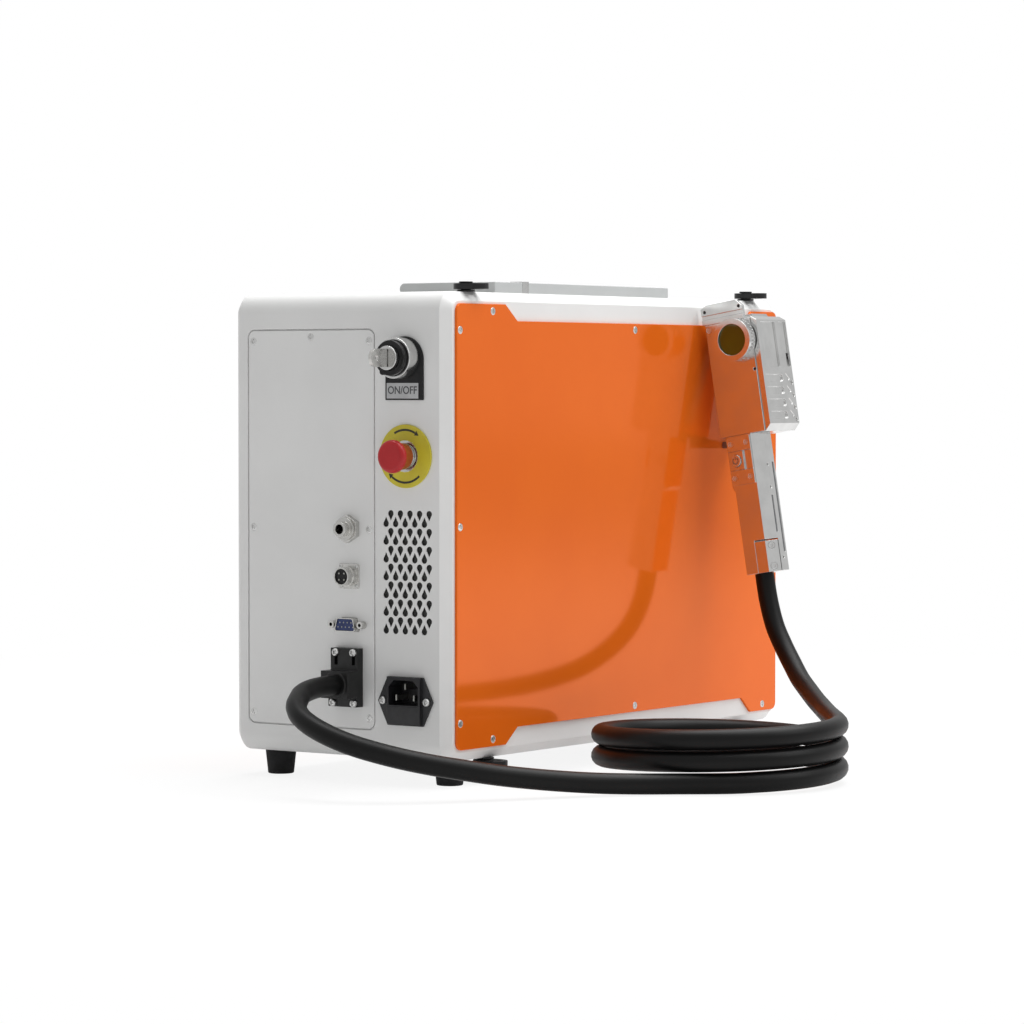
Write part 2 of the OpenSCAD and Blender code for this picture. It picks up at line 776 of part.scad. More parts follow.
module key_bezel() in_frame() color(bright_steel) on_face(key_y, key_rise) difference() {
  disc(bezel_d, legend_t, bezel_reach);
  disc(barrel_d + 2 * fit, bezel_seat, bezel_reach + over);
  disc(key_thread_d + 2 * fit, legend_t - over, bezel_seat + over);
}

module key_barrel() in_frame() color(black_plastic) on_face(key_y, key_rise) difference() {
  union() {
    disc(barrel_d, bezel_seat + fit, barrel_reach);
    disc(key_thread_d, -key_behind, bezel_seat + over);
    rotate(150) translate([barrel_d / 2 - lug_d / 4, 0]) disc(lug_d, bezel_reach + fit, barrel_reach + lug_reach);
  }
  disc(rotor_d + 2 * fit, rotor_seat, barrel_reach + 2 * over);
  disc(cam_d + 2 * fit, -key_behind - over, rotor_seat + over);
}

module key_rotor() in_frame() color(bright_steel) on_face(key_y, key_rise) difference() {
  union() {
    disc(rotor_d, rotor_seat + fit, rotor_reach);
    disc(cam_d, -key_behind - cam_d, rotor_seat + over);
  }
  block(-blade_h / 2 - fit, blade_h / 2 + fit, -blade_t / 2 - fit, blade_t / 2 + fit, blade_from - fit,
        rotor_reach + over);
}

module key() in_frame() color("#d6d6d2") on_face(key_y, key_rise) difference() {
  union() {
    block(-blade_h / 2, blade_h / 2, -blade_t / 2, blade_t / 2, blade_from, key_head_from + over);
    block(-key_head_h / 2, key_head_h / 2, -key_head_t / 2, key_head_t / 2, key_head_from,
          key_reach - key_head_h / 2);
    translate([0, 0, key_reach - key_head_h / 2]) rotate([90, 0, 0])
      translate([0, 0, -key_head_t / 2]) cylinder(h = key_head_t, d = key_head_h);
  }
  translate([0, 0, key_reach - key_head_h / 2]) rotate([90, 0, 0])
    translate([0, 0, -key_head_t]) cylinder(h = 2 * key_head_t, d = key_hole_d);
}

// Contact blocks behind the key switch and the emergency stop
key_block = [30, 30, 36];
stop_block = [24, 24, 34];
block_end = 3;

module contact_blocks() in_frame() color("#3a3c40") {
  on_face(key_y, key_rise) difference() {
    translate([-key_block[0] / 2, -key_block[1] / 2, -sheet_t - key_block[2]]) cube(key_block);
    disc(key_thread_d + 2 * fit, -key_behind - fit, over);
    disc(cam_d + over, -key_behind - cam_d - fit, over);
  }
  on_face(stop_y, stop_rise) difference() {
    translate([-stop_block[0] / 2, -stop_block[1] / 2, -sheet_t - stop_block[2]]) cube(stop_block);
    disc(stop_body_d + 2 * fit, -stop_behind - fit, over);
    disc(stop_shaft_d + 4 * fit, -sheet_t - stop_block[2] + block_end, over);
  }
}

// Emergency stop
stop_ring_t = 1.5;
stop_collar_d = 16.8;
stop_collar_to = 6;
stop_behind = 14;
stop_shaft_d = 8;
stop_skirt_d = 18.4;
stop_spigot_d = 10;
stop_head_t = 4.6;
shaft_behind = 16;
stop_crown_r = 3;
skirt_from = stop_ring_t + stop_travel + ease;
skirt_floor = stop_collar_to + stop_travel + ease;
head_from = stop_reach - stop_head_t;
spigot_to = stop_reach - stop_head_t / 2;

module estop_ring() in_frame() color("#a89c2d") on_face(stop_y, stop_rise) difference() {
  disc(stop_ring_d, 0, stop_ring_t);
  disc(stop_body_d + 2 * fit, -over, stop_ring_t + over);
}

module estop_bezel() in_frame() color(bright_steel) on_face(stop_y, stop_rise) difference() {
  union() {
    disc(stop_collar_d, stop_ring_t, stop_collar_to);
    disc(stop_body_d, -stop_behind, stop_ring_t + over);
  }
  disc(stop_shaft_d + 2 * fit, -stop_behind - over, stop_collar_to + over);
}

module estop_stem() in_frame() color("#8c3a1c") on_face(stop_y, stop_rise) {
  disc(stop_shaft_d, -shaft_behind, skirt_floor + over);
  difference() {
    disc(stop_skirt_d, skirt_from, head_from - ease);
    disc(stop_collar_d + 2 * fit, skirt_from - over, skirt_floor);
  }
  disc(stop_spigot_d, head_from - ease, spigot_to);
}

module estop_head() in_frame() color("#a32f30") on_face(stop_y, stop_rise) difference() {
  union() {
    disc(stop_head_d, head_from, stop_reach - stop_crown_r);
    rotate_extrude() translate([stop_head_d / 2 - stop_crown_r, stop_reach - stop_crown_r]) intersection() {
      circle(stop_crown_r);
      square(stop_crown_r + over);
    }
    disc(stop_head_d - 2 * stop_crown_r, head_from, stop_reach);
  }
  disc(stop_spigot_d + 2 * fit, head_from - over, spigot_to + fit);
}

// Mains inlet with its fuse drawer
inlet_flange_t = 2;
inlet_top_w = 30;
inlet_screw = 18.6;
inlet_body_h = 31.4;
inlet_wall = 1.5;
socket_low = 2.8;
socket_lid = 2.3;
socket_cut = 4.5;
socket_floor = 12;
drawer_h = 12.3;
drawer_low = 15.9;
drawer_lid_t = 1.2;
drawer_box_share = 0.8;
drawer_depth = 16;
socket_top = inlet_h / 2 - socket_lid;
socket_w = inlet_block_w - 2 * inlet_wall;
blade_pin_w = 4;
blade_pin_t = 1.2;
blade_pin_side = 7.5;
blade_pin_low = 2.4;
blade_pin_up = 10.1;

module inlet_body() in_frame() color(black_plastic) on_face(inlet_y, inlet_rise) difference() {
  union() {
    linear_extrude(inlet_flange_t) polygon([
      [0, inlet_w / 2], [inlet_h / 2, inlet_top_w / 2], [inlet_h / 2, -inlet_top_w / 2],
      [0, -inlet_w / 2], [-inlet_h / 2, -inlet_top_w / 2], [-inlet_h / 2, inlet_top_w / 2]
    ]);
    block(-inlet_h / 2 + fit, inlet_h / 2 - fit, -inlet_block_w / 2, inlet_block_w / 2, 0, inlet_reach);
    block(-inlet_body_h / 2, inlet_body_h / 2, -inlet_block_w / 2, inlet_block_w / 2, -inlet_depth, fit);
  }
  translate([0, 0, -socket_floor]) linear_extrude(socket_floor + inlet_reach + over) polygon([
    [-socket_low, -socket_w / 2], [-socket_low, socket_w / 2], [socket_top - socket_cut, socket_w / 2],
    [socket_top, socket_w / 2 - socket_cut], [socket_top, -socket_w / 2 + socket_cut],
    [socket_top - socket_cut, -socket_w / 2]
  ]);
  block(-inlet_h, drawer_h - drawer_low + fit, -inlet_block_w, inlet_block_w,
        inlet_reach - drawer_lid_t - fit, inlet_reach + over);
  translate([drawer_h / 2 - drawer_low, 0])
    block(-drawer_h * drawer_box_share / 2 - fit, drawer_h * drawer_box_share / 2 + fit,
          -inlet_block_w * drawer_box_share / 2 - fit, inlet_block_w * drawer_box_share / 2 + fit,
          -drawer_depth - fit, inlet_reach + over);
  for (s = [-1, 1]) translate([0, s * inlet_screw]) disc(screw_d + 2 * fit, -over, inlet_flange_t + over);
  for (p = inlet_pins) translate(p)
    block(-blade_pin_w / 2 - fit, blade_pin_w / 2 + fit, -blade_pin_t / 2 - fit, blade_pin_t / 2 + fit,
          -inlet_depth - over, 0);
}

inlet_pins = [[blade_pin_up, 0], [blade_pin_low, blade_pin_side], [blade_pin_low, -blade_pin_side]];

module fuse_drawer() in_frame() color("#2a2a2c") on_face(inlet_y, inlet_rise)
  translate([drawer_h / 2 - drawer_low, 0]) {
    block(-drawer_h / 2, drawer_h / 2, -inlet_block_w / 2, inlet_block_w / 2, inlet_reach - drawer_lid_t,
          inlet_reach + fit);
    block(-drawer_h * drawer_box_share / 2, drawer_h * drawer_box_share / 2,
          -inlet_block_w * drawer_box_share / 2, inlet_block_w * drawer_box_share / 2, -drawer_depth,
          inlet_reach - drawer_lid_t + fit);
  }

// Hose block: a plate with key slots, a thicker middle and a round collar, with its middle on the hose
gland_w = 23.4;
gland_aside = 0.7;
gland_low_w = 25.5;
gland_top = 25;
gland_low = 16;
gland_t = 6.8;
gland_mid_up = 9.7;
gland_mid_low = 9.5;
gland_mid_t = 18.2;
collar_d = 18.5;
gland_screw_up = 22;
gland_screw_low = 13.2;
gland_screw_w = 15.2;
gland_screw_low_w = 18;
key_slot_w = 2.8;
key_slot_l = 8.6;
gland_screws = [
  for (s = [-1, 1]) [gland_screw_up, s * gland_screw_w / 2],
  for (s = [-1, 1]) [-gland_screw_low, s * gland_screw_low_w / 2 + (gland_low_w - gland_w) / 2]
];

module hose_block() in_frame() color(black_plastic) on_face(hose_y, hose_rise) difference() {
  union() {
    translate([0, gland_aside]) {
      block(-gland_low, gland_top, -gland_w / 2, gland_w / 2, 0, gland_t);
      block(-gland_low, 0, -gland_w / 2, gland_low_w - gland_w / 2, 0, gland_t);
      block(-gland_mid_low, gland_mid_up, -gland_w / 2, gland_w / 2, 0, gland_mid_t);
    }
    disc(collar_d, gland_mid_t - over, gland_reach);
  }
  for (p = gland_screws) translate(p) disc(screw_d + 2 * fit, -over, gland_t + over);
  for (s = [-1, 1]) translate([gland_screw_up, s * gland_screw_w / 2])
    block(-key_slot_l, 0, -key_slot_w / 2, key_slot_w / 2, gland_t / 2, gland_t + over);
}

// Screws of the hose block, the inlet and the round socket
pan_head_d = 5.6;
pan_head_h = 1.8;
small_screw_d = 1.6;
small_head_d = 2.8;
small_head_h = 0.7;

module connector_screws() in_frame() color(bright_steel) {
  on_face(hose_y, hose_rise) for (p = gland_screws) translate([p[0], p[1], gland_t])
    pan_screw(screw_d, pan_head_d, pan_head_h, gland_t + sheet_t + screw_l / 2);
  on_face(inlet_y, inlet_rise) for (s = [-1, 1]) translate([0, s * inlet_screw, inlet_flange_t])
    pan_screw(screw_d, pan_head_d, pan_head_h, inlet_flange_t + sheet_t + screw_l / 2);
  on_face(port_y, signal_rise) corners(signal_screw, signal_screw) translate([0, 0, signal_flange_t])
    pan_screw(small_screw_d, small_head_d, small_head_h, signal_flange_t + sheet_t + small_head_d / 2);
}

// 9 pin connector
dsub_reach = 5.5;
dsub_wall = 0.6;
dsub_lean = 1.5;
dsub_flange_w = 30.8;
dsub_flange_h = 12.5;
dsub_flange_t = 1;
dsub_face = 4.6;
dsub_behind = 9;
jack_d = 5.2;
jack_body_d = 4.6;
jack_bore_d = 2.4;
jack_reach = 5;
dsub_pin_d = 1;
dsub_pin_pitch = 3.25;
dsub_pin_row = 1.58;
dsub_round = 1.2;

module d_outline(w, h) hull() for (s = [-1, 1]) {
  translate([dsub_round - h / 2, s * (w / 2 - dsub_round)]) circle(dsub_round);
  translate([h / 2 - dsub_round, s * (w / 2 - dsub_round - dsub_lean)]) circle(dsub_round);
}

module at_dsub_pins() {
  for (i = [-2 : 2]) translate([-dsub_pin_row, i * dsub_pin_pitch]) children();
  for (i = [-1.5 : 1.5]) translate([dsub_pin_row, i * dsub_pin_pitch]) children();
}

module dsub_shell() in_frame() color(bright_steel) on_face(dsub_y, dsub_rise) difference() {
  union() {
    translate([0, 0, -sheet_t - dsub_flange_t]) linear_extrude(sheet_t + dsub_flange_t + dsub_reach)
      d_outline(dsub_w, dsub_h);
    translate([0, 0, -sheet_t - dsub_flange_t])
      plate(dsub_flange_h, dsub_flange_w, dsub_flange_t, dsub_wall);
  }
  translate([0, 0, -dsub_behind]) linear_extrude(dsub_behind + dsub_reach + over)
    d_outline(dsub_w - 2 * dsub_wall, dsub_h - 2 * dsub_wall);
  for (s = [-1, 1]) translate([0, s * jack_pitch / 2])
    disc(jack_bore_d + 2 * fit, -sheet_t - dsub_flange_t - over, over);
}

module dsub_insert() in_frame() color("#1e2c5a") on_face(dsub_y, dsub_rise) difference() {
  translate([0, 0, -dsub_behind]) linear_extrude(dsub_behind + dsub_face)
    d_outline(dsub_w - 2 * dsub_wall - 2 * fit, dsub_h - 2 * dsub_wall - 2 * fit);
  at_dsub_pins() disc(dsub_pin_d + 2 * fit, -dsub_behind - over, dsub_face + over);
}

module dsub_jackscrews() in_frame() color(bright_steel) on_face(dsub_y, dsub_rise)
  for (s = [-1, 1]) translate([0, s * jack_pitch / 2]) difference() {
    union() {
      disc(jack_body_d, -sheet_t, over);
      disc(jack_d, 0, jack_reach);
    }
    disc(jack_bore_d, -sheet_t - over, jack_reach + over);
  }

// Round socket with a square flange
signal_flange_t = 1;
signal_round = 1.6;
signal_wall = 1.05;
signal_reach = 10;
signal_screw = 6.7;
signal_thread_d = 14.4;
signal_thread_from = 4.6;
signal_behind = 9;
signal_face = 8.6;
signal_pin_d = 1.3;
signal_pin_place = 2.2;
signal_pin_reach = 9.4;

module signal_socket() in_frame() color(bright_steel) on_face(port_y, signal_rise) difference() {
  union() {
    plate(signal_flange, signal_flange, signal_flange_t, signal_round);
    disc(signal_d, 0, signal_reach);
    disc(signal_thread_d, signal_flange_t, signal_thread_from);
    disc(signal_d - 4 * fit, -signal_behind, over);
  }
  disc(signal_d - 2 * signal_wall + 2 * fit, -signal_behind - over, signal_reach + over);
  corners(signal_screw, signal_screw) disc(small_screw_d + 2 * fit, -over, signal_flange_t + over);
}

module at_signal_pins() corners(signal_pin_place, signal_pin_place) children();

module signal_insert() in_frame() color(black_plastic) on_face(port_y, signal_rise) difference() {
  disc(signal_d - 2 * signal_wall, -signal_behind, signal_face);
  at_signal_pins() disc(signal_pin_d + 2 * fit, -signal_behind - over, signal_reach);
}

module connector_pins() in_frame() color("#c9b37a") {
  on_face(dsub_y, dsub_rise) at_dsub_pins() disc(dsub_pin_d, -dsub_behind - over, dsub_face - fit);
  on_face(port_y, signal_rise) at_signal_pins() disc(signal_pin_d, -signal_behind - over, signal_pin_reach);
  on_face(inlet_y, inlet_rise) for (p = inlet_pins) translate(p)
    block(-blade_pin_w / 2, blade_pin_w / 2, -blade_pin_t / 2, blade_pin_t / 2, -inlet_depth - blade_pin_w,
          inlet_flange_t);
}

// Gas port: a bulkhead thread from behind, a nut, a step and a nozzle
nut_t = 4.5;
step_d = 16;
step_t = 2;
nozzle_d = 10.6;
nozzle_reach = 12;
gas_behind = 16;

module gas_port() in_frame() color(bright_steel) on_face(port_y, gas_rise) difference() {
  union() {
    disc(gas_thread_d, -gas_behind, nut_t);
    disc(step_d, nut_t, nut_t + step_t);
    disc(nozzle_d, nut_t, nozzle_reach);
  }
  disc(gas_bore_d, -gas_behind - over, nozzle_reach + over);
}

module gas_nut() in_frame() color(bright_steel) on_face(port_y, gas_rise) difference() {
  cylinder(h = nut_t - fit / 2, d = nut_corners, $fn = 6);
  disc(gas_thread_d + 2 * fit, -over, nut_t + over);
}

// Folding handle that lies flat on the top, open towards +Y
handle_front = 34.3;
arm_w = 10;
notch_w = 8;
pivot_wall = 1.6;
notch_depth = 1.2;
notch_share = 0.331;
cap_t = 0.8;
bracket_w = 10;
bracket_d = 16;
bar_y = -side_y + handle_front;
hinge_r = handle_t / 2;
handle_z = top_z + ease;
hinge_y = bar_y + handle_reach - hinge_r;
hinge_z = handle_z + hinge_r;
notch_x = -handle_l * notch_share;

module along_x(x, y, z, h, d) translate([x, y, z]) rotate([0, 90, 0]) cylinder(h = h, d = d);

module handle_bail() in_frame() color("#cfcfcc") difference() {
  union() {
    block(-handle_l / 2, handle_l / 2, bar_y, bar_y + bar_w, handle_z, handle_z + handle_t);
    for (s = [0, 1]) mirror([s, 0, 0]) {
      block(handle_l / 2 - arm_w, handle_l / 2, bar_y, hinge_y, handle_z, handle_z + handle_t);
      along_x(handle_l / 2 - arm_w, hinge_y, hinge_z, arm_w, handle_t);
    }
  }
  along_x(-handle_l / 2 + pivot_wall, hinge_y, hinge_z, handle_l - 2 * pivot_wall, pivot_d + 2 * fit);
  block(notch_x - notch_w / 2, notch_x + notch_w / 2, bar_y - over, bar_y + notch_depth, handle_z - over,
        handle_z + handle_t + over);
}

module handle_pad() in_frame() color(bright_steel) {
  block(notch_x - notch_w / 2 + fit, notch_x + notch_w / 2 - fit, bar_y, bar_y + notch_depth - fit / 2, handle_z,
        handle_z + handle_t + cap_t);
  block(notch_x - notch_w / 2 + fit, notch_x + notch_w / 2 - fit, bar_y, bar_y + bar_w, handle_z + handle_t,
        handle_z + handle_t + cap_t);
}

module handle_brackets() in_frame() color("#6f7174") for (s = [0, 1]) mirror([s, 0, 0]) {
  in_x = handle_l / 2 - arm_w - ease;
  block(in_x - bracket_w, in_x, hinge_y - bracket_d / 2, hinge_y + bracket_d / 2, top_z, handle_z + handle_t);
  along_x(in_x - over, hinge_y, hinge_z, arm_w + ease + over - pivot_wall - fit, pivot_d);
}

// Strap rings, two on the top and two underneath, that swivel on riveted hubs near the -Y edge
hub_in_y = 8.9;
top_hub_in_x = 35;
low_hub_in_x = 58;
hub_base_d = 12.6;
hub_shaft_d = 7;
hub_cap_d = 9.7;
hub_base_t = 1.4;
hub_cap_t = 1.1;
eye_out = 10.2;
hub_y = -side_y + hub_in_y;
ring_z0 = hub_base_t + ease;
ring_z1 = ring_z0 + ring_t;
cap_z = ring_z1 + ease;

// z grows away from the shell
module at_hub(low, side) {
  x = side * (shell_l / 2 - (low ? low_hub_in_x : top_hub_in_x));
  translate([x, hub_y, low ? base_z : top_z]) mirror([0, 0, low ? 1 : 0]) children();
}

module link_outline(r1, r2, reach) {
  lean = (r1 - r2) / reach;
  out = sqrt(1 - lean * lean);
  circle(r1);
  translate([0, -reach]) circle(r2);
  polygon([
    [r1 * out, -r1 * lean], [r2 * out, -reach - r2 * lean],
    [-r2 * out, -reach - r2 * lean], [-r1 * out, -r1 * lean]
  ]);
}

module strap_hubs() in_frame() color(black_plastic) for (low = [false, true], side = [-1, 1]) at_hub(low, side) {
  disc(hub_base_d, 0, hub_base_t);
  disc(hub_shaft_d, 0, cap_z + hub_cap_t / 2);
  disc(hub_cap_d, cap_z, cap_z + hub_cap_t);
}

module strap_ring(low, side) in_frame() color("#2b2b2c") at_hub(low, side) difference() {
  translate([0, 0, ring_z0]) linear_extrude(ring_t) link_outline(ring_hub_r, ring_eye_r, eye_out);
  disc(hub_shaft_d + 2 * fit, 0, cap_z);
  translate([0, -eye_out]) disc(2 * eye_r, 0, cap_z);
}

module strap_ring_1() strap_ring(false, -1);
module strap_ring_2() strap_ring(false, 1);
module strap_ring_3() strap_ring(true, -1);
module strap_ring_4() strap_ring(true, 1);

// Holder behind the gun: a plate on the side panel with an arm under the head
holder_t = 2;
holder_w = 10;
holder_in = 0.3;
holder_l = 75;
arm_t = 8;
arm_under = 11;
holder_end = gun_x + head_end - holder_in;
holder_mid = holder_end - holder_w / 2;
head_back = head_w - lens_in;
rest_y = gun_y + head_back * cos(gun_lean) + head_low * sin(gun_lean);
rest_z = gun_z - head_back * sin(gun_lean) + head_low * cos(gun_lean);
holder_rise = rest_z - mid_z;
holder_screw_shares = [0.3, 0.75];
holder_screws = [for (share = holder_screw_shares) holder_rise + holder_l * share];

module gun_holder() in_frame() color("#5f6266") difference() {
  union() {
    block(holder_end - holder_w, holder_end, -skin_y - holder_t, -skin_y, rest_z - arm_t, rest_z + holder_l);
    block(holder_end - holder_w, holder_end, rest_y - arm_under, -skin_y, rest_z - arm_t, rest_z + over);
  }
  in_gun() block(head_x, head_end + over, head_back - 3 * arm_under, head_back + 3 * arm_under, head_low - ease,
                 head_low + arm_t);
  for (rise = holder_screws) on_side(holder_mid, rise) translate([0, 0, holder_t])
    csk_hole(screw_d, screw_head_d, holder_t);
}

// Gun head: a block with the optical bore, its mirror motor and a ribbed cover on the outer side
bore_end = 6;
motor_d = 16;
motor_l = 13;
motor_back = 1;
mirror_in = 21.5;
mirror_shaft_d = 3;
mirror_size = [1.5, 14, 16];
pilot_d = 2.2;
pilot_in = 1.6;
pilot_low = 23.7;
gun_screw_d = 2;
gun_screw_head_d = 4;
gun_screw_l = 6;
corner_in = 3;
corner_down = 4;
plate_foot_l = 15.5;

module mirror_axis() translate([head_x + mirror_in, 0, 0]) rotate([-90, 0, 0]) children();

module gun_head() in_frame() color(aluminium_grey) in_gun() difference() {
  block(head_x, head_end, -lens_in, head_back, head_low, lens_down);
  along_x(head_x - over, 0, 0, head_l + over - bore_end, window_d);
  mirror_axis() disc(motor_d + 2 * fit, 0, head_back - motor_back + fit);
  on_gun_front(pilot_in - lens_in, -pilot_low) disc(pilot_d, -pilot_d, over);
  on_gun_front(head_back - corner_in, lens_down - corner_down)
    csk_hole(gun_screw_d, gun_screw_head_d, gun_screw_l);
}

module galvo_motor() in_frame() color("#4a4d50") in_gun() mirror_axis() difference() {
  disc(motor_d, head_back - motor_back - motor_l, head_back - motor_back);
  disc(mirror_shaft_d + 2 * fit, 0, head_back - motor_back - motor_l / 2);
}

module galvo_mirror() in_frame() color("#dfe3e6") in_gun() mirror_axis() {
  disc(mirror_shaft_d, 0, head_back - motor_back - motor_l / 2 - fit);
  rotate([90, 0, 0]) rotate([0, 45, 0]) cube(mirror_size, center = true);
}

// Side cover: two sunk fields, four short grooves, four slanted grooves and four holes
cover_back = 1;
cover_top = 1;
cover_low = 0.5;
cover_low_cut = 5;
cover_top_cut = 3.5;
field_depth = 1.2;
field_top_in = 1.5;
field_h = 33.8;
field_in = 5.1;
field_l = 20.8;
column_in = 31.1;
column_l = 10.4;
groove_count = 4;
groove_in = 3.5;
groove_l = 23.7;
groove_h = 5.5;
groove_pitch = 9.3;
groove_from = 28.9;
slant_in = 31.5;
slant_l = 6;
slant_h = 1.8;
slant_turn = -40;
dot_d = 3;
dot_in = 39.5;
dot_low = 35.1;
slit_w = 2.6;
slit_h = 10;
slit_in = 38.4;
cover_x = head_x + cover_back;
cover_face_top = lens_down + cover_top - cover_top_cut;

module gun_cover() in_frame() color(aluminium_grey) in_gun() difference() {
  translate([cover_x, -lens_in, 0]) rotate([90, 0, 90]) linear_extrude(head_l - cover_back) polygon([
    [0, head_low - cover_low], [0, lens_down + cover_top], [-cover_t, cover_face_top],
    [-cover_t, head_low - cover_low + cover_low_cut]
  ]);
  on_cover(cover_x, cover_face_top - field_top_in) translate([0, 0, -field_depth]) {
    translate([field_in, -field_h]) cube([field_l, field_h, field_depth + over]);
    translate([column_in, -field_h]) cube([column_l, field_h, field_depth + over]);
    translate([slit_in, -field_h, -field_depth]) cube([slit_w, slit_h, 2 * field_depth]);
  }
  for (i = [0 : groove_count - 1]) on_cover(cover_x, -groove_from - i * groove_pitch) {
    translate([groove_in, -groove_h, -field_depth]) cube([groove_l - groove_h / 2, groove_h, field_depth + over]);
    translate([groove_in + groove_l - groove_h / 2, -groove_h / 2]) disc(groove_h, -field_depth, over);
    translate([slant_in, 0]) rotate(slant_turn)
      block(0, slant_l, -slant_h / 2, slant_h / 2, -field_depth / 2, over);
  }
  for (i = [0 : groove_count - 1]) on_cover(cover_x + dot_in, -dot_low - i * groove_pitch)
    disc(dot_d, -2 * field_depth, over);
}

// Upright plate on top of the head
top_plate_t = 3;
top_plate_h = 15;
top_plate_cut = 5;
top_plate_front = 5;
top_plate_back = 2;
top_hole_d = 2.4;
top_hole_in = 3.2;
top_hole_down = 5;
top_groove_up = 4.2;
top_groove_h = 3;
top_groove_depth = 0.8;
top_foot_t = 2;
saddle_h = 4;
saddle_front = 6;

module gun_top_plate() in_frame() color(aluminium_grey) in_gun() {
  y0 = -lens_in + top_plate_front;
  y1 = head_back + top_plate_back;
  difference() {
    translate([head_x, 0, lens_down]) rotate([90, 0, 90]) linear_extrude(top_plate_t) polygon([
      [y0, 0], [y1, 0], [y1, top_plate_h - top_plate_cut / 2], [y1 - top_plate_cut, top_plate_h],
      [y0 + top_plate_cut, top_plate_h], [y0, top_plate_h - top_plate_cut]
    ]);
    for (y = [y0 + top_hole_in, y1 - top_hole_in]) on_gun_front(y, lens_down + top_plate_h - top_hole_down)
      disc(top_hole_d, -top_plate_t - over, over);
    on_gun_front(0, lens_down + top_groove_up)
      block(0, top_groove_h, y0 - over, y1 + over, -top_groove_depth, over);
  }
  block(head_x + top_plate_t / 2, head_x + plate_foot_l, y0, head_back, lens_down, lens_down + top_foot_t);
  translate([0, head_back, 0]) rotate([90, 0, 0]) linear_extrude(head_w - saddle_front) polygon([
    [head_x + plate_foot_l - over, lens_down], [head_x + plate_foot_l - over, lens_down + saddle_h],
    [head_end - 2 * saddle_h, lens_down + saddle_h], [head_end - saddle_h, lens_down]
  ]);
}

// Lens ring with a grip of small flutes, and the window behind its lip
lip_d = 23.5;
lip_t = 1.5;
flute_count = 36;
flute_d = 1.2;
flute_from = 3;
glass_t = 2;

module lens_ring() in_frame() color(bright_steel) in_gun() rotate([0, 90, 0]) difference() {
  disc(lens_ring_d, 0, lens_ring_l);
  disc(lip_d, -over, lip_t + over);
  disc(window_d + 2 * fit, lip_t, lens_ring_l + over);
  for (i = [0 : flute_count - 1]) rotate(i * 360 / flute_count) translate([lens_ring_d / 2, 0])
    disc(flute_d, flute_from, lens_ring_l - lip_t);
}

module gun_window() in_frame() color("#4a330c") in_gun() rotate([0, 90, 0])
  disc(window_d, lip_t + fit, lip_t + fit + glass_t);

// Grip: an eight sided handle, narrower below its buttons, with two grooves and a split hose clamp
grip_cut = 6.3;
grip_small_cut = 2.6;
grip_y0 = -grip_side;
grip_y1 = grip_w - grip_side;
clamp_l = 9;
clamp_w = 15.6;
clamp_h = 24.5;
clamp_gap = 1.2;
clamp_bolt_d = 3;
clamp_bolt_head_d = 5;
clamp_bolt_head_h = 2.6;
clamp_bolt_l = 13;
clamp_bolt_low = 4;
clamp_bolt_pitch = 15.6;
button_rise = -89.4;
button_y = 14.2;
button_sink = 1.5;
button_stem_d = 4;
button_stem_l = 5;
plate_t = 2;
plate_top = 1;
plate_h = 36;
plate_w = 20.4;
plate_y = 10.4;
plate_screw_y = 6.8;
plate_screw_in = 5.1;
pocket_y = -6.5;
pocket_w = 5.2;
pocket_h = 14.5;
pocket_depth = 1.6;
line_w = 0.5;
line_rise = 7.1;
side_hole_d = 2;
side_holes = [[8.5, 24.5], [9, 41.5], [13.5, 94.5]];
long_groove = [15, 2.5, 22.5, 68];
short_groove = [8, 2.5, 47.5, 28];
groove_deep = 1;
grip_low_in = 3.6;
grip_shoulder = 38;

module grip_outline() polygon([
  [grip_cut, grip_y0], [grip_l - grip_cut, grip_y0], [grip_l, grip_y0 + grip_cut],
  [grip_l, grip_y1 - grip_cut], [grip_l - grip_cut, grip_y1], [grip_small_cut, grip_y1],
  [0, grip_y1 - grip_small_cut], [0, grip_y0 + grip_cut]
]);

module grip_bar(z0, z1) translate([head_x, 0, z0]) linear_extrude(z1 - z0) grip_outline();

// z points out of the cut edge between the front and the outer side
module at_clamp_bolts() for (i = [0, 1])
  translate([head_x + grip_cut / 2, grip_y0 + grip_cut / 2, grip_low + clamp_bolt_low + i * clamp_bolt_pitch])
    rotate([90, 0, -45]) children();

module clamp_bolt_hole() {
  disc(clamp_bolt_d + 2 * fit, -clamp_bolt_l - over, over);
  disc(clamp_bolt_head_d + 4 * fit, -clamp_bolt_head_h, grip_cut);
}

module at_plate_screws() for (s = [-1, 1], rise = [-plate_top - plate_screw_in, -plate_top - plate_h + plate_screw_in])
  on_gun_front(plate_y + s * plate_screw_y, head_low + rise) translate([0, 0, plate_t]) children();

module on_grip_side(p) translate([head_x + p[0], grip_y0, head_low - p[1]]) rotate([90, 0, 0]) children();

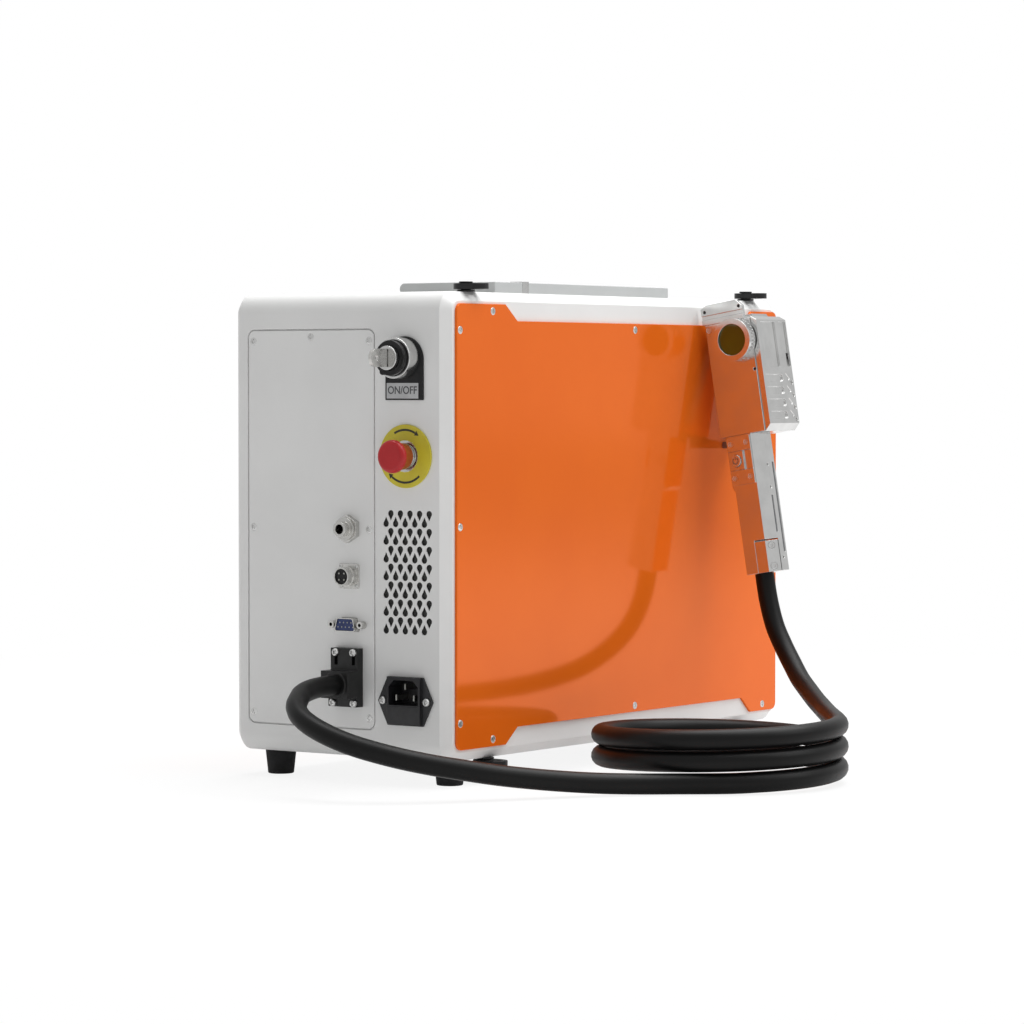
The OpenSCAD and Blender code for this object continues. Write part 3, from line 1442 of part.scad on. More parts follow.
module gun_grip() in_frame() color(aluminium_grey) in_gun() difference() {
  grip_bar(grip_low, head_low);
  block(head_x - over, head_x + clamp_l, grip_y0 - over, grip_y0 + clamp_w, grip_low - over,
        grip_low + clamp_h);
  at_clamp_bolts() clamp_bolt_hole();
  on_gun_front(button_y, button_rise) {
    disc(button_d + 6 * fit, -button_sink - button_travel / 2 - fit, over);
    disc(button_stem_d + 2 * fit, -button_sink - button_stem_l - button_travel - fit, over);
  }
  at_plate_screws() disc(gun_screw_d + 2 * fit, -gun_screw_l - over, over);
  for (p = side_holes) on_grip_side(p) disc(side_hole_d, -2 * groove_deep, over);
  for (g = [long_groove, short_groove]) on_grip_side([g[0], g[2]])
    block(0, g[1], -g[3], 0, -groove_deep, over);
  translate([head_x - over, 0, 0]) rotate([90, 0, 90]) linear_extrude(grip_l + 2 * over) polygon([
    [grip_y1 - grip_low_in, grip_low - over], [grip_y1 + over, grip_low - over],
    [grip_y1 + over, head_low - grip_shoulder + over],
    [grip_y1 - grip_low_in, head_low - grip_shoulder - grip_low_in]
  ]);
}

module hose_clamp() in_frame() color(aluminium_grey) in_gun() difference() {
  intersection() {
    grip_bar(grip_low, grip_low + clamp_h - clamp_gap);
    block(head_x, head_x + clamp_l - clamp_gap, grip_y0, grip_y0 + clamp_w - fit, grip_low, head_low);
  }
  at_clamp_bolts() clamp_bolt_hole();
}

module button_plate() in_frame() color(aluminium_grey) in_gun() difference() {
  on_gun_front(plate_y, head_low - plate_top - plate_h / 2) plate(plate_h, plate_w, plate_t, line_w);
  on_gun_front(button_y, button_rise) disc(button_d + 4 * fit, -over, plate_t + over);
  on_gun_front(button_y + pocket_y - pocket_w, button_rise - pocket_h / 2)
    translate([0, 0, plate_t - pocket_depth]) cube([pocket_h, pocket_w, plate_t]);
  for (s = [-1, 1]) on_gun_front(plate_y, button_rise + s * line_rise)
    block(-line_w / 2, line_w / 2, -plate_w, plate_w, plate_t - line_w, plate_t + over);
  at_plate_screws() csk_hole(gun_screw_d, gun_screw_head_d, plate_t);
}

module gun_button() in_frame() color(bright_steel) in_gun() on_gun_front(button_y, button_rise) {
  disc(button_d, -button_sink + button_travel / 2, plate_t + button_travel);
  disc(button_stem_d, -button_sink - button_stem_l, 0);
}

module gun_screws() in_frame() color(bright_steel) in_gun() {
  at_plate_screws() csk_screw(gun_screw_d, gun_screw_head_d, gun_screw_l);
  on_gun_front(head_back - corner_in, lens_down - corner_down)
    csk_screw(gun_screw_d, gun_screw_head_d, gun_screw_l);
  at_clamp_bolts() difference() {
    union() {
      disc(clamp_bolt_d, -clamp_bolt_l, 0);
      disc(clamp_bolt_head_d, -clamp_bolt_head_h + fit, 0);
    }
    translate([0, 0, -clamp_bolt_head_h / 2]) cylinder(h = clamp_bolt_head_h, d = clamp_bolt_d, $fn = 6);
  }
}

// Hose: from the block round the connector end, down to the ground before the machine, round the
// coil and up into the gun. The points are on the middle of the hose.
lead_points = [
  [-240, -11, 70], [-254, -11.2, 69.8], [-268, -12.6, 68.8], [-282.5, -16.5, 67], [-296, -23.4, 64.1],
  [-309.4, -31.9, 60.3], [-318.5, -42.8, 54.9], [-323, -56.8, 49.2], [-323.8, -72.2, 43.7],
  [-320.6, -87.5, 38.5], [-313.3, -102.8, 33.7], [-302.6, -117.6, 29.1], [-288.5, -131.8, 24.8],
  [-271.4, -145.5, 20.8], [-252.3, -159.1, 16.8], [-232.2, -172.7, 13.5], [-211.1, -186.8, 10.7],
  [-190.1, -201.9, 8.6], [-171, -219, 7.6], [-156, -236, 7.4]
];
riser_points = [
  [4.8, -268.2, 42.4], [16.7, -258.3, 43.4], [38.9, -240.3, 45.8], [57.9, -223.3, 49.5],
  [73.7, -207.8, 54.9], [86.4, -193.2, 62.1], [96.4, -180.6, 72], [103.5, -168.8, 84.3],
  [107.7, -158.7, 99.4], [110.3, -151.6, 118.5]
];
coil_x = -67.4;
coil_y = -218.9;
coil_from = 215;
loop_rings = 24;
loop_sides = 6;
tube_sides = 8;
coil_lift = 0.45;

function unit(v) = v / norm(v);
function climb(turn) = coil_pitch * turn / 360;
function coil_point(turn) = [
  coil_x + coil_r * cos(coil_from + turn), coil_y + coil_r * sin(coil_from + turn),
  hose_d / 2 + coil_lift + climb(turn)
];
function coil_way(turn) = unit([
  -sin(coil_from + turn), cos(coil_from + turn), coil_pitch / (2 * PI * coil_r)
]);

coil_sweep = 360 * coil_turns;
coil_steps = loop_rings * coil_turns;
coil_start = coil_point(0) - hose_d * coil_way(0);
coil_end = coil_point(coil_sweep) + hose_d * coil_way(coil_sweep);
coil_path = concat(
  [coil_start], [for (i = [0 : coil_steps]) coil_point(i * coil_sweep / coil_steps)], [coil_end]
);
lead_path = concat(lead_points, [coil_start]);
hose_shift = 1.8;
grip_mid = grip_w / 2 - grip_side + hose_shift;
hose_in = 9.8;
hose_top = grip_low - ease;
gun_inlet = [
  gun_x + head_x + hose_in,
  gun_y + grip_mid * cos(gun_lean) + hose_top * sin(gun_lean),
  gun_z - grip_mid * sin(gun_lean) + hose_top * cos(gun_lean)
];
riser_path = concat([coil_end], riser_points, [gun_inlet]);

function way(path, i, first, last) =
  i == 0 ? first : i == len(path) - 1 ? last : unit(path[i + 1] - path[i - 1]);
function tube_ring(p, t, aside, sides) =
  let(u = unit(cross(t, aside)), v = cross(u, t))
  [for (k = [0 : sides - 1]) p + hose_d / 2 * (cos(360 * k / sides) * u + sin(360 * k / sides) * v)];

module tube(path, first, last, aside, sides) {
  n = len(path);
  rings = [for (i = [0 : n - 1]) each tube_ring(path[i], way(path, i, first, last), aside, sides)];
  walls = [
    for (i = [0 : n - 2], k = [0 : sides - 1])
      let(a = i * sides + k, b = i * sides + (k + 1) % sides)
      each [[a, b, b + sides], [a, b + sides, a + sides]]
  ];
  caps = [
    for (k = [1 : sides - 2]) each [
      [0, k + 1, k], [(n - 1) * sides, (n - 1) * sides + k, (n - 1) * sides + k + 1]
    ]
  ];
  polyhedron(rings, concat(walls, caps));
}

// The least open space between one turn of the coil and the next
coil_gap = min([
  for (i = [0 : coil_steps], j = [0 : coil_steps]) if (j - i > loop_rings / 2)
    norm(coil_path[i + 1] - coil_path[j + 1])
]) - hose_d;
echo(least_gap_of_coil = coil_gap);

upward = [0, 0, 1];
leaning = [0.57, -0.82, 0];

module hose_lead() in_frame() color(black_plastic)
  tube(lead_path, [-1, 0, 0], coil_way(0), upward, tube_sides);

module hose_coil() in_frame() color(black_plastic)
  tube(coil_path, coil_way(0), coil_way(coil_sweep), upward, loop_sides);

module hose_riser() in_frame() color(black_plastic)
  tube(riser_path, coil_way(coil_sweep), [0, sin(gun_lean), cos(gun_lean)], leaning, tube_sides);

shell();
side_panel_right();
side_panel_left();
panel_screws();
service_panel();
feet();
pan_screws();
chassis_tray();
laser_source();
power_supply();
control_board();
fan_frame();
fan_rotor();
fan_guard();
key_legend_plate();
key_bezel();
key_barrel();
key_rotor();
key();
contact_blocks();
estop_ring();
estop_bezel();
estop_stem();
estop_head();
inlet_body();
fuse_drawer();
hose_block();
connector_screws();
dsub_shell();
dsub_insert();
connector_pins();
dsub_jackscrews();
signal_socket();
signal_insert();
gas_port();
gas_nut();
handle_bail();
handle_pad();
handle_brackets();
strap_hubs();
strap_ring_1();
strap_ring_2();
strap_ring_3();
strap_ring_4();
gun_holder();
gun_head();
gun_cover();
gun_top_plate();
lens_ring();
gun_window();
gun_grip();
button_plate();
gun_button();
gun_screws();
galvo_motor();
galvo_mirror();
hose_clamp();
hose_lead();
hose_coil();
hose_riser();
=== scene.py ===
# %% [markdown]
# A laser cleaning machine: a sheet metal cabinet with gloss side panels, a face full of
# connectors, and a small aluminium gun on a black hose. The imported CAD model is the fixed
# frame. This lesson keeps its shapes, rounds their edges, adds the fine parts and gives
# every surface its real finish.

# %% Load the frame
import json
from math import cos, radians, sin

import bmesh
import bpy
from mathutils import Matrix, Vector

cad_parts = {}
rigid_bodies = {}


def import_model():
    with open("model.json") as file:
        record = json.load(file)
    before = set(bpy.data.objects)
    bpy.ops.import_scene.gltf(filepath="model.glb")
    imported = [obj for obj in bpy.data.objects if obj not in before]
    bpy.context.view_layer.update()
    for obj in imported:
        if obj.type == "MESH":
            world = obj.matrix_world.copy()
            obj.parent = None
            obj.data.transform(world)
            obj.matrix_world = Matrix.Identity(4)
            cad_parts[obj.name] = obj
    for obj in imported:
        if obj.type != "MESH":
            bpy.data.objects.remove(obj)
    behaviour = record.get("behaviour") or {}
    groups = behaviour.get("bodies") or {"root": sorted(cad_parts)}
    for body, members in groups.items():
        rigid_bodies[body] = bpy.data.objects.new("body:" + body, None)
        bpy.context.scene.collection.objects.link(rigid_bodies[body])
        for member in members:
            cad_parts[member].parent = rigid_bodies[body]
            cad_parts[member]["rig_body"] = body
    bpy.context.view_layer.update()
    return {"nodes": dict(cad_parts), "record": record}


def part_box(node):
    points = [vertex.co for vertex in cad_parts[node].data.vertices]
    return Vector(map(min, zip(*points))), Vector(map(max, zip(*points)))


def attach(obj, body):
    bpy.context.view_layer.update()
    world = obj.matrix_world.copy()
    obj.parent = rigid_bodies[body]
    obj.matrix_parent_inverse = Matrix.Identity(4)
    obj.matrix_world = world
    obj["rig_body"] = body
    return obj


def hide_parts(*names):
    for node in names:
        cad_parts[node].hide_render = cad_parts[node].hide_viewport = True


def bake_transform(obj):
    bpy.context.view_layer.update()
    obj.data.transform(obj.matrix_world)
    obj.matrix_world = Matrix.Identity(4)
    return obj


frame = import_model()
scene = bpy.context.scene
MM = 0.001

shell_low, shell_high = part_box("shell")
middle = (shell_low + shell_high) / 2          # the cabinet's middle
print("cabinet", [round(v / MM, 1) for v in shell_high - shell_low], "mm")


def spot(x, y, z):
    """A point in metres: x and y in mm from the cabinet's middle, z from the floor."""
    return Vector((middle.x + x * MM, middle.y + y * MM, z * MM))


# %% [markdown]
# The photograph was taken from far away with a long lens, so upright edges stay nearly
# parallel. The camera's place was fitted to the corners of the cabinet, its panels and its
# screws. It has no shift and no depth of field.

# %% Camera
IMAGE = 1024
FOCAL = 3875.7                                 # in pixels of that image
SENSOR = 36.0
YAW, PITCH = 34.775, 1.922                     # degrees, from +X towards +Y, and down
CAMERA_AT = (-2376.3, -1644.9, 280.5)          # in mm, as spot takes them
CLIP_NEAR, CLIP_FAR = 0.05, 60                 # in metres

lens = bpy.data.cameras.new("photo_camera")
lens.sensor_width = SENSOR
lens.lens = FOCAL / IMAGE * SENSOR
lens.clip_start, lens.clip_end = CLIP_NEAR, CLIP_FAR
camera = bpy.data.objects.new("photo_camera", lens)
scene.collection.objects.link(camera)
camera.location = spot(*CAMERA_AT)
camera.rotation_euler = (radians(90 - PITCH), 0, radians(YAW - 90))
scene.camera = camera
print("lens", round(lens.lens, 1), "mm")

# %% [markdown]
# Each material is a small tree of shader nodes. One function turns the sRGB hex values that
# a paint chart gives into Blender's linear colours, and one adds a node with its settings
# and links. Patterns read Object coordinates, in metres, so their scale comes from a real
# size: a grain of 0.5 mm has a scale of 1 / 0.0005.

# %% Helpers for colours and nodes
def tone(code):
    """An sRGB hex colour as linear values."""
    parts = [int(code[i:i + 2], 16) / 255 for i in (0, 2, 4)]
    linear = [c / 12.92 if c <= 0.04045 else ((c + 0.055) / 1.055) ** 2.4 for c in parts]
    return linear + [1.0]


def add(tree, kind, settings=None, **inputs):
    """A shader node with its settings; an input is a value or another node's output.

    An input called i6 is the node's seventh, for nodes whose inputs share a name.
    """
    node = tree.nodes.new("ShaderNode" + kind)
    for name, value in (settings or {}).items():
        setattr(node, name, value)
    for name, value in inputs.items():
        numbered = name[0] == "i" and name[1:].isdigit()
        key = int(name[1:]) if numbered else name.replace("_", " ")
        if isinstance(value, bpy.types.NodeSocket):
            tree.links.new(value, node.inputs[key])
        else:
            node.inputs[key].default_value = value
    return node


def grain(size_mm):
    """The scale of a pattern whose spots are this many mm apart."""
    return 1 / (size_mm * MM)


# %% [markdown]
# No real surface has one colour or one shine. So every finish here mixes two close colours
# in soft patches, lets the roughness drift with them, and adds a fine relief. A pixel of
# the photograph covers about 0.7 mm of the machine, so the relief of a coat, a mould or a
# blasting bead, often 0.05 to 0.3 mm in life, is drawn as coarse as it has to be to show.

# %% One function for every finish
COLOUR_SPAN = (0.35, 0.65)                     # most of a noise's values lie in here
SHINE_SPAN = (0.3, 0.7)                        # wider, so the shine changes more slowly
PATCH_DETAIL, RELIEF_DETAIL = 4.0, 2.0
EDGE_SAMPLES = 6


def finish(name, low, high, patch, rough, metallic=0.0, bump=None, edge=0.0, **sockets):
    """One surface: two close colours in soft patches, uneven roughness, and a fine relief.

    low and high are the colours, patch their size in mm; rough is the lowest and highest
    roughness; bump is the relief's size and depth in mm; edge rounds sharp edges by mm.
    """
    mat = bpy.data.materials.new(name)
    mat.use_nodes = True
    tree = mat.node_tree
    shader = tree.nodes["Principled BSDF"]
    place = add(tree, "TexCoord").outputs["Object"]
    cloud = add(tree, "TexNoise", Vector=place, Scale=grain(patch),
                Detail=PATCH_DETAIL).outputs["Fac"]
    even = add(tree, "MapRange", Value=cloud, From_Min=COLOUR_SPAN[0],
               From_Max=COLOUR_SPAN[1]).outputs["Result"]
    colour = add(tree, "Mix", {"data_type": "RGBA"}, Factor=even, i6=tone(low),
                 i7=tone(high))
    tree.links.new(colour.outputs[2], shader.inputs["Base Color"])
    shine = add(tree, "MapRange", Value=cloud, From_Min=SHINE_SPAN[0],
                From_Max=SHINE_SPAN[1], To_Min=rough[0], To_Max=rough[1])
    tree.links.new(shine.outputs["Result"], shader.inputs["Roughness"])
    shader.inputs["Metallic"].default_value = metallic
    for key, value in sockets.items():
        shader.inputs[key.replace("_", " ")].default_value = value
    normal = None
    if edge:
        normal = add(tree, "Bevel", {"samples": EDGE_SAMPLES},
                     Radius=edge * MM).outputs["Normal"]
    if bump:
        relief = add(tree, "TexNoise", Vector=place, Scale=grain(bump[0]),
                     Detail=RELIEF_DETAIL)
        raised = add(tree, "Bump", Height=relief.outputs["Fac"], Distance=bump[1] * MM,
                     Strength=1.0)
        if normal:
            tree.links.new(normal, raised.inputs["Normal"])
        normal = raised.outputs["Normal"]
    if normal:
        tree.links.new(normal, shader.inputs["Normal"])
    return mat


# %% [markdown]
# The cabinet is folded steel sheet under a white powder coat: powder that melted into a
# skin with a very fine orange peel. It gives a soft, broad shine. The side panels are a
# separate gloss paint, sprayed and baked, so smooth that the gun and hose show in it.

# %% Paints
# Melted powder on steel sheet: a broad, soft shine over a very fine orange peel.
powder_coat_white = finish("powder_coat_white", "ebebea", "e6e6e5", 60, (0.36, 0.46),
                           bump=(0.9, 0.010), edge=0.5)
# Baked gloss paint: a clear, slightly tinted mirror image over an even orange.
gloss_paint_orange = finish("gloss_paint_orange", "f0701c", "ec6c1a", 90, (0.07, 0.10),
                            metallic=0.18, bump=(4.0, 0.002), edge=0.3,
                            Specular_IOR_Level=0.2)
# Silver-grey enamel on a steel bar: duller than the cabinet, no clear reflection.
handle_paint_grey = finish("handle_paint_grey", "b9bbbb", "b3b5b5", 40, (0.38, 0.5),
                           bump=(0.8, 0.010), edge=0.4)

# %% Coloured plastics of the emergency stop
# Moulded ABS: a flat, even yellow with a satin skin.
stop_yellow_plastic = finish("stop_yellow_plastic", "d4c735", "cabc30", 12, (0.4, 0.5),
                             bump=(0.4, 0.006), edge=0.2)
# Polished mould: a deep red with one small highlight.
stop_red_plastic = finish("stop_red_plastic", "b8262a", "b02226", 10, (0.3, 0.38),
                          bump=(0.6, 0.002), Specular_IOR_Level=0.35)
# The red head's plastic darkened to a dull red brown: painted shade under the head.
stop_stem_painted_shade = finish("stop_stem_painted_shade", "a34a1c", "984418", 8, (0.35, 0.45),
                           bump=(0.5, 0.003))
print(len(bpy.data.materials), "materials so far")

# %% [markdown]
# Screws, connector shells and bezels are steel, zinc or brass under a thin plating. Plated
# metal is a metallic shader with a low roughness, uneven at the scale of the plating bath.
# The gun is milled aluminium, blasted with fine glass beads and then clear anodised, which
# leaves a satin skin that still mirrors the orange panel beside it.

# %% Plated metals
# Zinc on steel: a bright, slightly cloudy grey.
zinc_plated_steel = finish("zinc_plated_steel", "d6d6d5", "c9c9c8", 2.5, (0.24, 0.36),
                           metallic=1.0, bump=(0.35, 0.002))
# Zinc darkened nearly to black in a screw's cross recess: painted shade.
recess_shade = finish("painted_shade_of_recess", "434342", "383837", 1.5, (0.5, 0.7),
                      metallic=0.3, bump=(0.3, 0.004))
# Satin chrome on turned brass: a clean, light mirror with soft reflections.
satin_chrome = finish("satin_chrome", "d4d4d3", "c8c8c7", 6, (0.16, 0.24), metallic=1.0,
                      edge=0.2)
# Nickel on brass: as bright, but a little warmer.
nickel_plate = finish("nickel_plate", "d0cfcc", "c2c1be", 3, (0.18, 0.28), metallic=1.0,
                      edge=0.15)
# Silver on contact pins, dulled by air: a soft grey gleam.
dull_silver_plate = finish("dull_silver_plate", "a9a9a6", "97978f", 2, (0.3, 0.4),
                           metallic=1.0, bump=(0.3, 0.002))

# %% The gun's metals
# Bead-blasted, clear anodised aluminium: a satin skin that still mirrors its surroundings.
blasted_aluminium = finish("blasted_aluminium", "d6d6d5", "cccccb", 14, (0.16, 0.22),
                           metallic=1.0, bump=(0.22, 0.0015), edge=0.25)
# A flat, darker grey laid on the floor of a milled groove: painted shade.
groove_shade = finish("painted_shade_of_grooves", "76777a", "6b6c6f", 6, (0.45, 0.6), metallic=0.8,
                     bump=(0.3, 0.004))
# Turned stainless steel: bright, with the last trace of the tool.
turned_steel = finish("turned_steel", "d2d2d0", "c4c4c2", 3, (0.2, 0.32), metallic=1.0,
                      bump=(0.2, 0.004), edge=0.2)

# %% Inner and dark metals
# Sand-cast aluminium: coarse, grey and without reflections.
cast_aluminium = finish("cast_aluminium", "9da0a2", "8c8f91", 7, (0.4, 0.6), metallic=1.0,
                        bump=(0.8, 0.05))
# Hot-dip zinc on sheet: faint crystals from grey to light grey.
zinc_coated_sheet = finish("zinc_coated_sheet", "b4b7b8", "9fa3a5", 9, (0.3, 0.5),
                           metallic=1.0, bump=(3.0, 0.01))
# Drawn and chromed steel wire: thin bright lines.
bright_wire = finish("bright_wire", "d9d9d8", "cbcbca", 5, (0.14, 0.24), metallic=1.0,
                     bump=(0.3, 0.003))
# Passivated zinc on a bent bracket: a quiet middle grey.
bracket_zinc = finish("bracket_zinc", "8d9093", "7f8285", 6, (0.3, 0.45), metallic=1.0,
                      bump=(0.6, 0.01), edge=0.3)
# Black anodised aluminium: dark, with a faint metal sheen at its edges.
black_anodised = finish("black_anodised", "232323", "1b1b1b", 6, (0.32, 0.42), metallic=0.4,
                        bump=(0.25, 0.002), edge=0.3)
# Black coat on cast zinc: nearly black, with narrow soft highlights.
strap_black_coat = finish("strap_black_coat", "1a1b1d", "131415", 4, (0.36, 0.48),
                          bump=(0.5, 0.004), edge=0.3, Specular_IOR_Level=0.35)
print(len(bpy.data.materials), "materials with the metals")

# %% [markdown]
# The inlet, the sockets' inserts, the fan and the contact blocks are moulded plastic. Their
# moulds were spark eroded, which leaves a fine even texture, coarser on the inlet. The
# window in the gun is coated glass, dark amber from outside.

# %% Plastics
# Glass-filled nylon from a spark-eroded mould: black, with an even fine texture.
inlet_black_plastic = finish("inlet_black_plastic", "1f1f21", "17171a", 5, (0.38, 0.52),
                             bump=(0.3, 0.012), edge=0.3)
# Moulded ABS: black with a dull, even shine.
satin_black_plastic = finish("satin_black_plastic", "1a1a1b", "141415", 6, (0.4, 0.52),
                             bump=(0.35, 0.004), edge=0.2, Specular_IOR_Level=0.3)
# The same from a polished mould: black with one clear highlight.
gloss_black_plastic = finish("gloss_black_plastic", "0e0e0f", "0a0a0b", 9, (0.12, 0.2),
                             bump=(1.5, 0.001), edge=0.3, Specular_IOR_Level=0.35)
# Polyamide of a switch block: dark grey and dull.
contact_block_plastic = finish("contact_block_plastic", "43464a", "393c40", 6, (0.45, 0.6),
                               bump=(0.4, 0.01))
# Polyester of a data connector: a dull, deep blue.
connector_blue_plastic = finish("connector_blue_plastic", "26386e", "1d2c5a", 4, (0.4, 0.5),
                                bump=(0.3, 0.005))
# Solder mask on a circuit board: green and slightly glossy.
board_green = finish("board_green", "1f6a3a", "17582f", 4, (0.25, 0.4), bump=(1.2, 0.03))
# Painted steel can of a small motor: dark grey with a weak sheen.
motor_black = finish("motor_black", "3a3d41", "303337", 5, (0.35, 0.5), metallic=0.4,
                     bump=(0.4, 0.01))

# %% Rubber and foam
# Moulded rubber: matt black, a little grey where light grazes it.
foot_rubber = finish("foot_rubber", "18181a", "111112", 7, (0.6, 0.75), bump=(0.5, 0.012),
                     edge=0.4, Specular_IOR_Level=0.3)
# Extruded rubber: black with one long, soft highlight down the hose.
hose_rubber = finish("hose_rubber", "0c0c0c", "090909", 35, (0.38, 0.46), bump=(0.7, 0.004),
                     Specular_IOR_Level=0.18)
# Open-cell foam: a broken dark grey without any shine.
filter_foam = finish("filter_foam_grey", "4c4c4a", "2c2c2b", 1.2, (0.8, 0.95),
                     bump=(0.9, 0.15))

# %% Glass, mirror and print
# Coated window glass: dark amber, as smooth as a mirror.
amber_glass = finish("amber_glass", "5c5a0c", "52500a", 10, (0.04, 0.08), bump=(3, 0.001),
                     Transmission_Weight=0.35, Coat_Weight=0.3)
# Dielectric mirror coat: almost all light comes back.
mirror_coat = finish("mirror_coat", "e2e6ea", "d8dde2", 12, (0.02, 0.05), metallic=1.0)
# Screen printing ink, in grey for the tag, in dark grey and black for its signs: flat.
tag_grey_print = finish("tag_grey_print", "bcbdbe", "b2b3b4", 8, (0.4, 0.5),
                        bump=(0.3, 0.004))
letter_grey_print = finish("letter_grey_print", "4b4c4e", "424345", 4, (0.45, 0.55))
mark_black_print = finish("mark_black_print", "2b2812", "22200f", 3, (0.45, 0.55))
print(len(bpy.data.materials), "materials with those of the CAD model")

# %% [markdown]
# The hose is one free length of rubber hose. Its route repeats the points of the CAD
# source: out of its block, round in front of the machine, two and a quarter coil turns, and
# up into the gun. Points between the given ones come from a Catmull-Rom spline, which
# passes through every point, and the coil from its formula.

# %% Route of the hose
HOSE_D = 14.4
COIL_R, COIL_PITCH, COIL_TURNS, COIL_FROM = 83.0, 15.0, 2.25, 215.0
COIL_X, COIL_Y, COIL_Z = -67.4, -218.9, HOSE_D / 2 + 0.45
COIL_STEP = 15                                 # degrees between two given coil points
BETWEEN = 5                                    # spline steps from each point to the next
ROUND_STEPS = 6                                # gives the tube 16 sides

lead_points = [
    (-240, -11, 70), (-254, -11.2, 69.8), (-268, -12.6, 68.8), (-282.5, -16.5, 67),
    (-296, -23.4, 64.1), (-309.4, -31.9, 60.3), (-318.5, -42.8, 54.9), (-323, -56.8, 49.2),
    (-323.8, -72.2, 43.7), (-320.6, -87.5, 38.5), (-313.3, -102.8, 33.7),
    (-302.6, -117.6, 29.1), (-288.5, -131.8, 24.8), (-271.4, -145.5, 20.8),
    (-252.3, -159.1, 16.8), (-232.2, -172.7, 13.5), (-211.1, -186.8, 10.7),
    (-190.1, -201.9, 8.6), (-171, -219, 7.6), (-156, -236, 7.4)]
riser_points = [
    (4.8, -268.2, 42.4), (16.7, -258.3, 43.4), (38.9, -240.3, 45.8), (57.9, -223.3, 49.5),
    (73.7, -207.8, 54.9), (86.4, -193.2, 62.1), (96.4, -180.6, 72), (103.5, -168.8, 84.3),
    (107.7, -158.7, 99.4), (110.3, -151.6, 118.5), (111.2, -147.7, 137.2)]


def coil_point(turned):
    """A point on the coil, this many degrees from its start."""
    a = radians(COIL_FROM + turned)
    return (COIL_X + COIL_R * cos(a), COIL_Y + COIL_R * sin(a),
            COIL_Z + COIL_PITCH * turned / 360)


def through(points, steps):
    """A Catmull-Rom spline through the points, with this many steps between each pair."""
    p = [Vector(v) for v in points]
    p = [2 * p[0] - p[1]] + p + [2 * p[-1] - p[-2]]
    line = []
    for a, b, c, d in zip(p, p[1:], p[2:], p[3:]):
        for i in range(steps):
            t = i / steps
            line.append((2 * b + (c - a) * t + (2 * a - 5 * b + 4 * c - d) * t ** 2
                         + (3 * b - a - 3 * c + d) * t ** 3) / 2)
    return line + [p[-2]]


coil_points = [coil_point(t) for t in range(0, int(COIL_TURNS * 360) + 1, COIL_STEP)]
route = [spot(*p) for p in through(lead_points + coil_points + riser_points, BETWEEN)]

# %% [markdown]
# A curve with a round bevel makes the tube, and the curve is turned into a mesh.

# %% Hose
def shown(mesh, name, material, body, slot_name, *replaced):
    """Puts a finished mesh in the scene as a piece that rides on a body."""
    piece = bpy.data.objects.new(name, mesh)
    scene.collection.objects.link(piece)
    mesh.materials.clear()
    mesh.materials.append(material)
    if body:
        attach(piece, body)
    if replaced:
        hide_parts(*replaced)
    return piece


def as_mesh(curve):
    """The mesh that a curve or a line of text draws."""
    holder = bpy.data.objects.new(curve.name, curve)
    scene.collection.objects.link(holder)
    mesh = bpy.data.meshes.new_from_object(holder.evaluated_get(
        bpy.context.evaluated_depsgraph_get()))
    bpy.data.objects.remove(holder)
    bpy.data.curves.remove(curve)
    return mesh


def tube_mesh(name, line, diameter):
    """A round tube along a line of points, closed at both ends."""
    curve = bpy.data.curves.new(name, "CURVE")
    curve.dimensions = "3D"
    curve.bevel_depth = diameter / 2
    curve.bevel_resolution = ROUND_STEPS
    curve.use_fill_caps = True
    spline = curve.splines.new("POLY")
    spline.points.add(len(line) - 1)
    for point, co in zip(spline.points, line):
        point.co = (*co, 1)
    mesh = as_mesh(curve)
    mesh.name = name
    return mesh


hose_mesh = tube_mesh("hose", route, HOSE_D * MM)
hose_mesh.polygons.foreach_set("use_smooth", [True] * len(hose_mesh.polygons))
hose = shown(hose_mesh, "hose", hose_rubber, None, "hose_rubber", "hose_lead", "hose_coil",
             "hose_riser")
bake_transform(hose)
print("hose faces", len(hose_mesh.polygons))

# %% [markdown]
# CAD edges are perfectly sharp, and no real edge is: folded sheet, milled metal and moulded
# plastic all have a small round that catches the light. So most CAD nodes are shown as a
# copy of their mesh. Its loose triangles are merged, flat regions are joined, and every
# sharp edge gets a bevel of the size that its way of making leaves.

# %% Limits for the rounded copies
SHARP = radians(28)                            # an edge that is bevelled
SHADED_SHARP = radians(50)                     # an edge that stays sharp after its bevel
FLAT = radians(0.4)                            # faces that lie in one plane
SAME_POINT = 2e-7                              # in metres
SLACK = 5e-5                                   # a copy may leave its CAD box by this
MOST_CHANGE = 0.04                             # of a node's volume, through its bevels
BEVEL_STEPS = 2


# %% Rounded copies of the CAD nodes
def settle(piece, angle=SHARP):
    """Smooth shading between the sharp edges, with flat faces kept flat."""
    mesh = piece.data
    mesh.polygons.foreach_set("use_smooth", [True] * len(mesh.polygons))
    mesh.set_sharp_from_angle(angle=angle)
    even = piece.modifiers.new("even_shading", "WEIGHTED_NORMAL")
    even.keep_sharp = True
    even.weight = 100
    return piece


def body_of(node):
    """The body that a CAD node rides on."""
    return frame["nodes"][node]["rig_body"]


slot_of = {row["node"]: row["material_slot"] for row in frame["record"]["subparts"]}


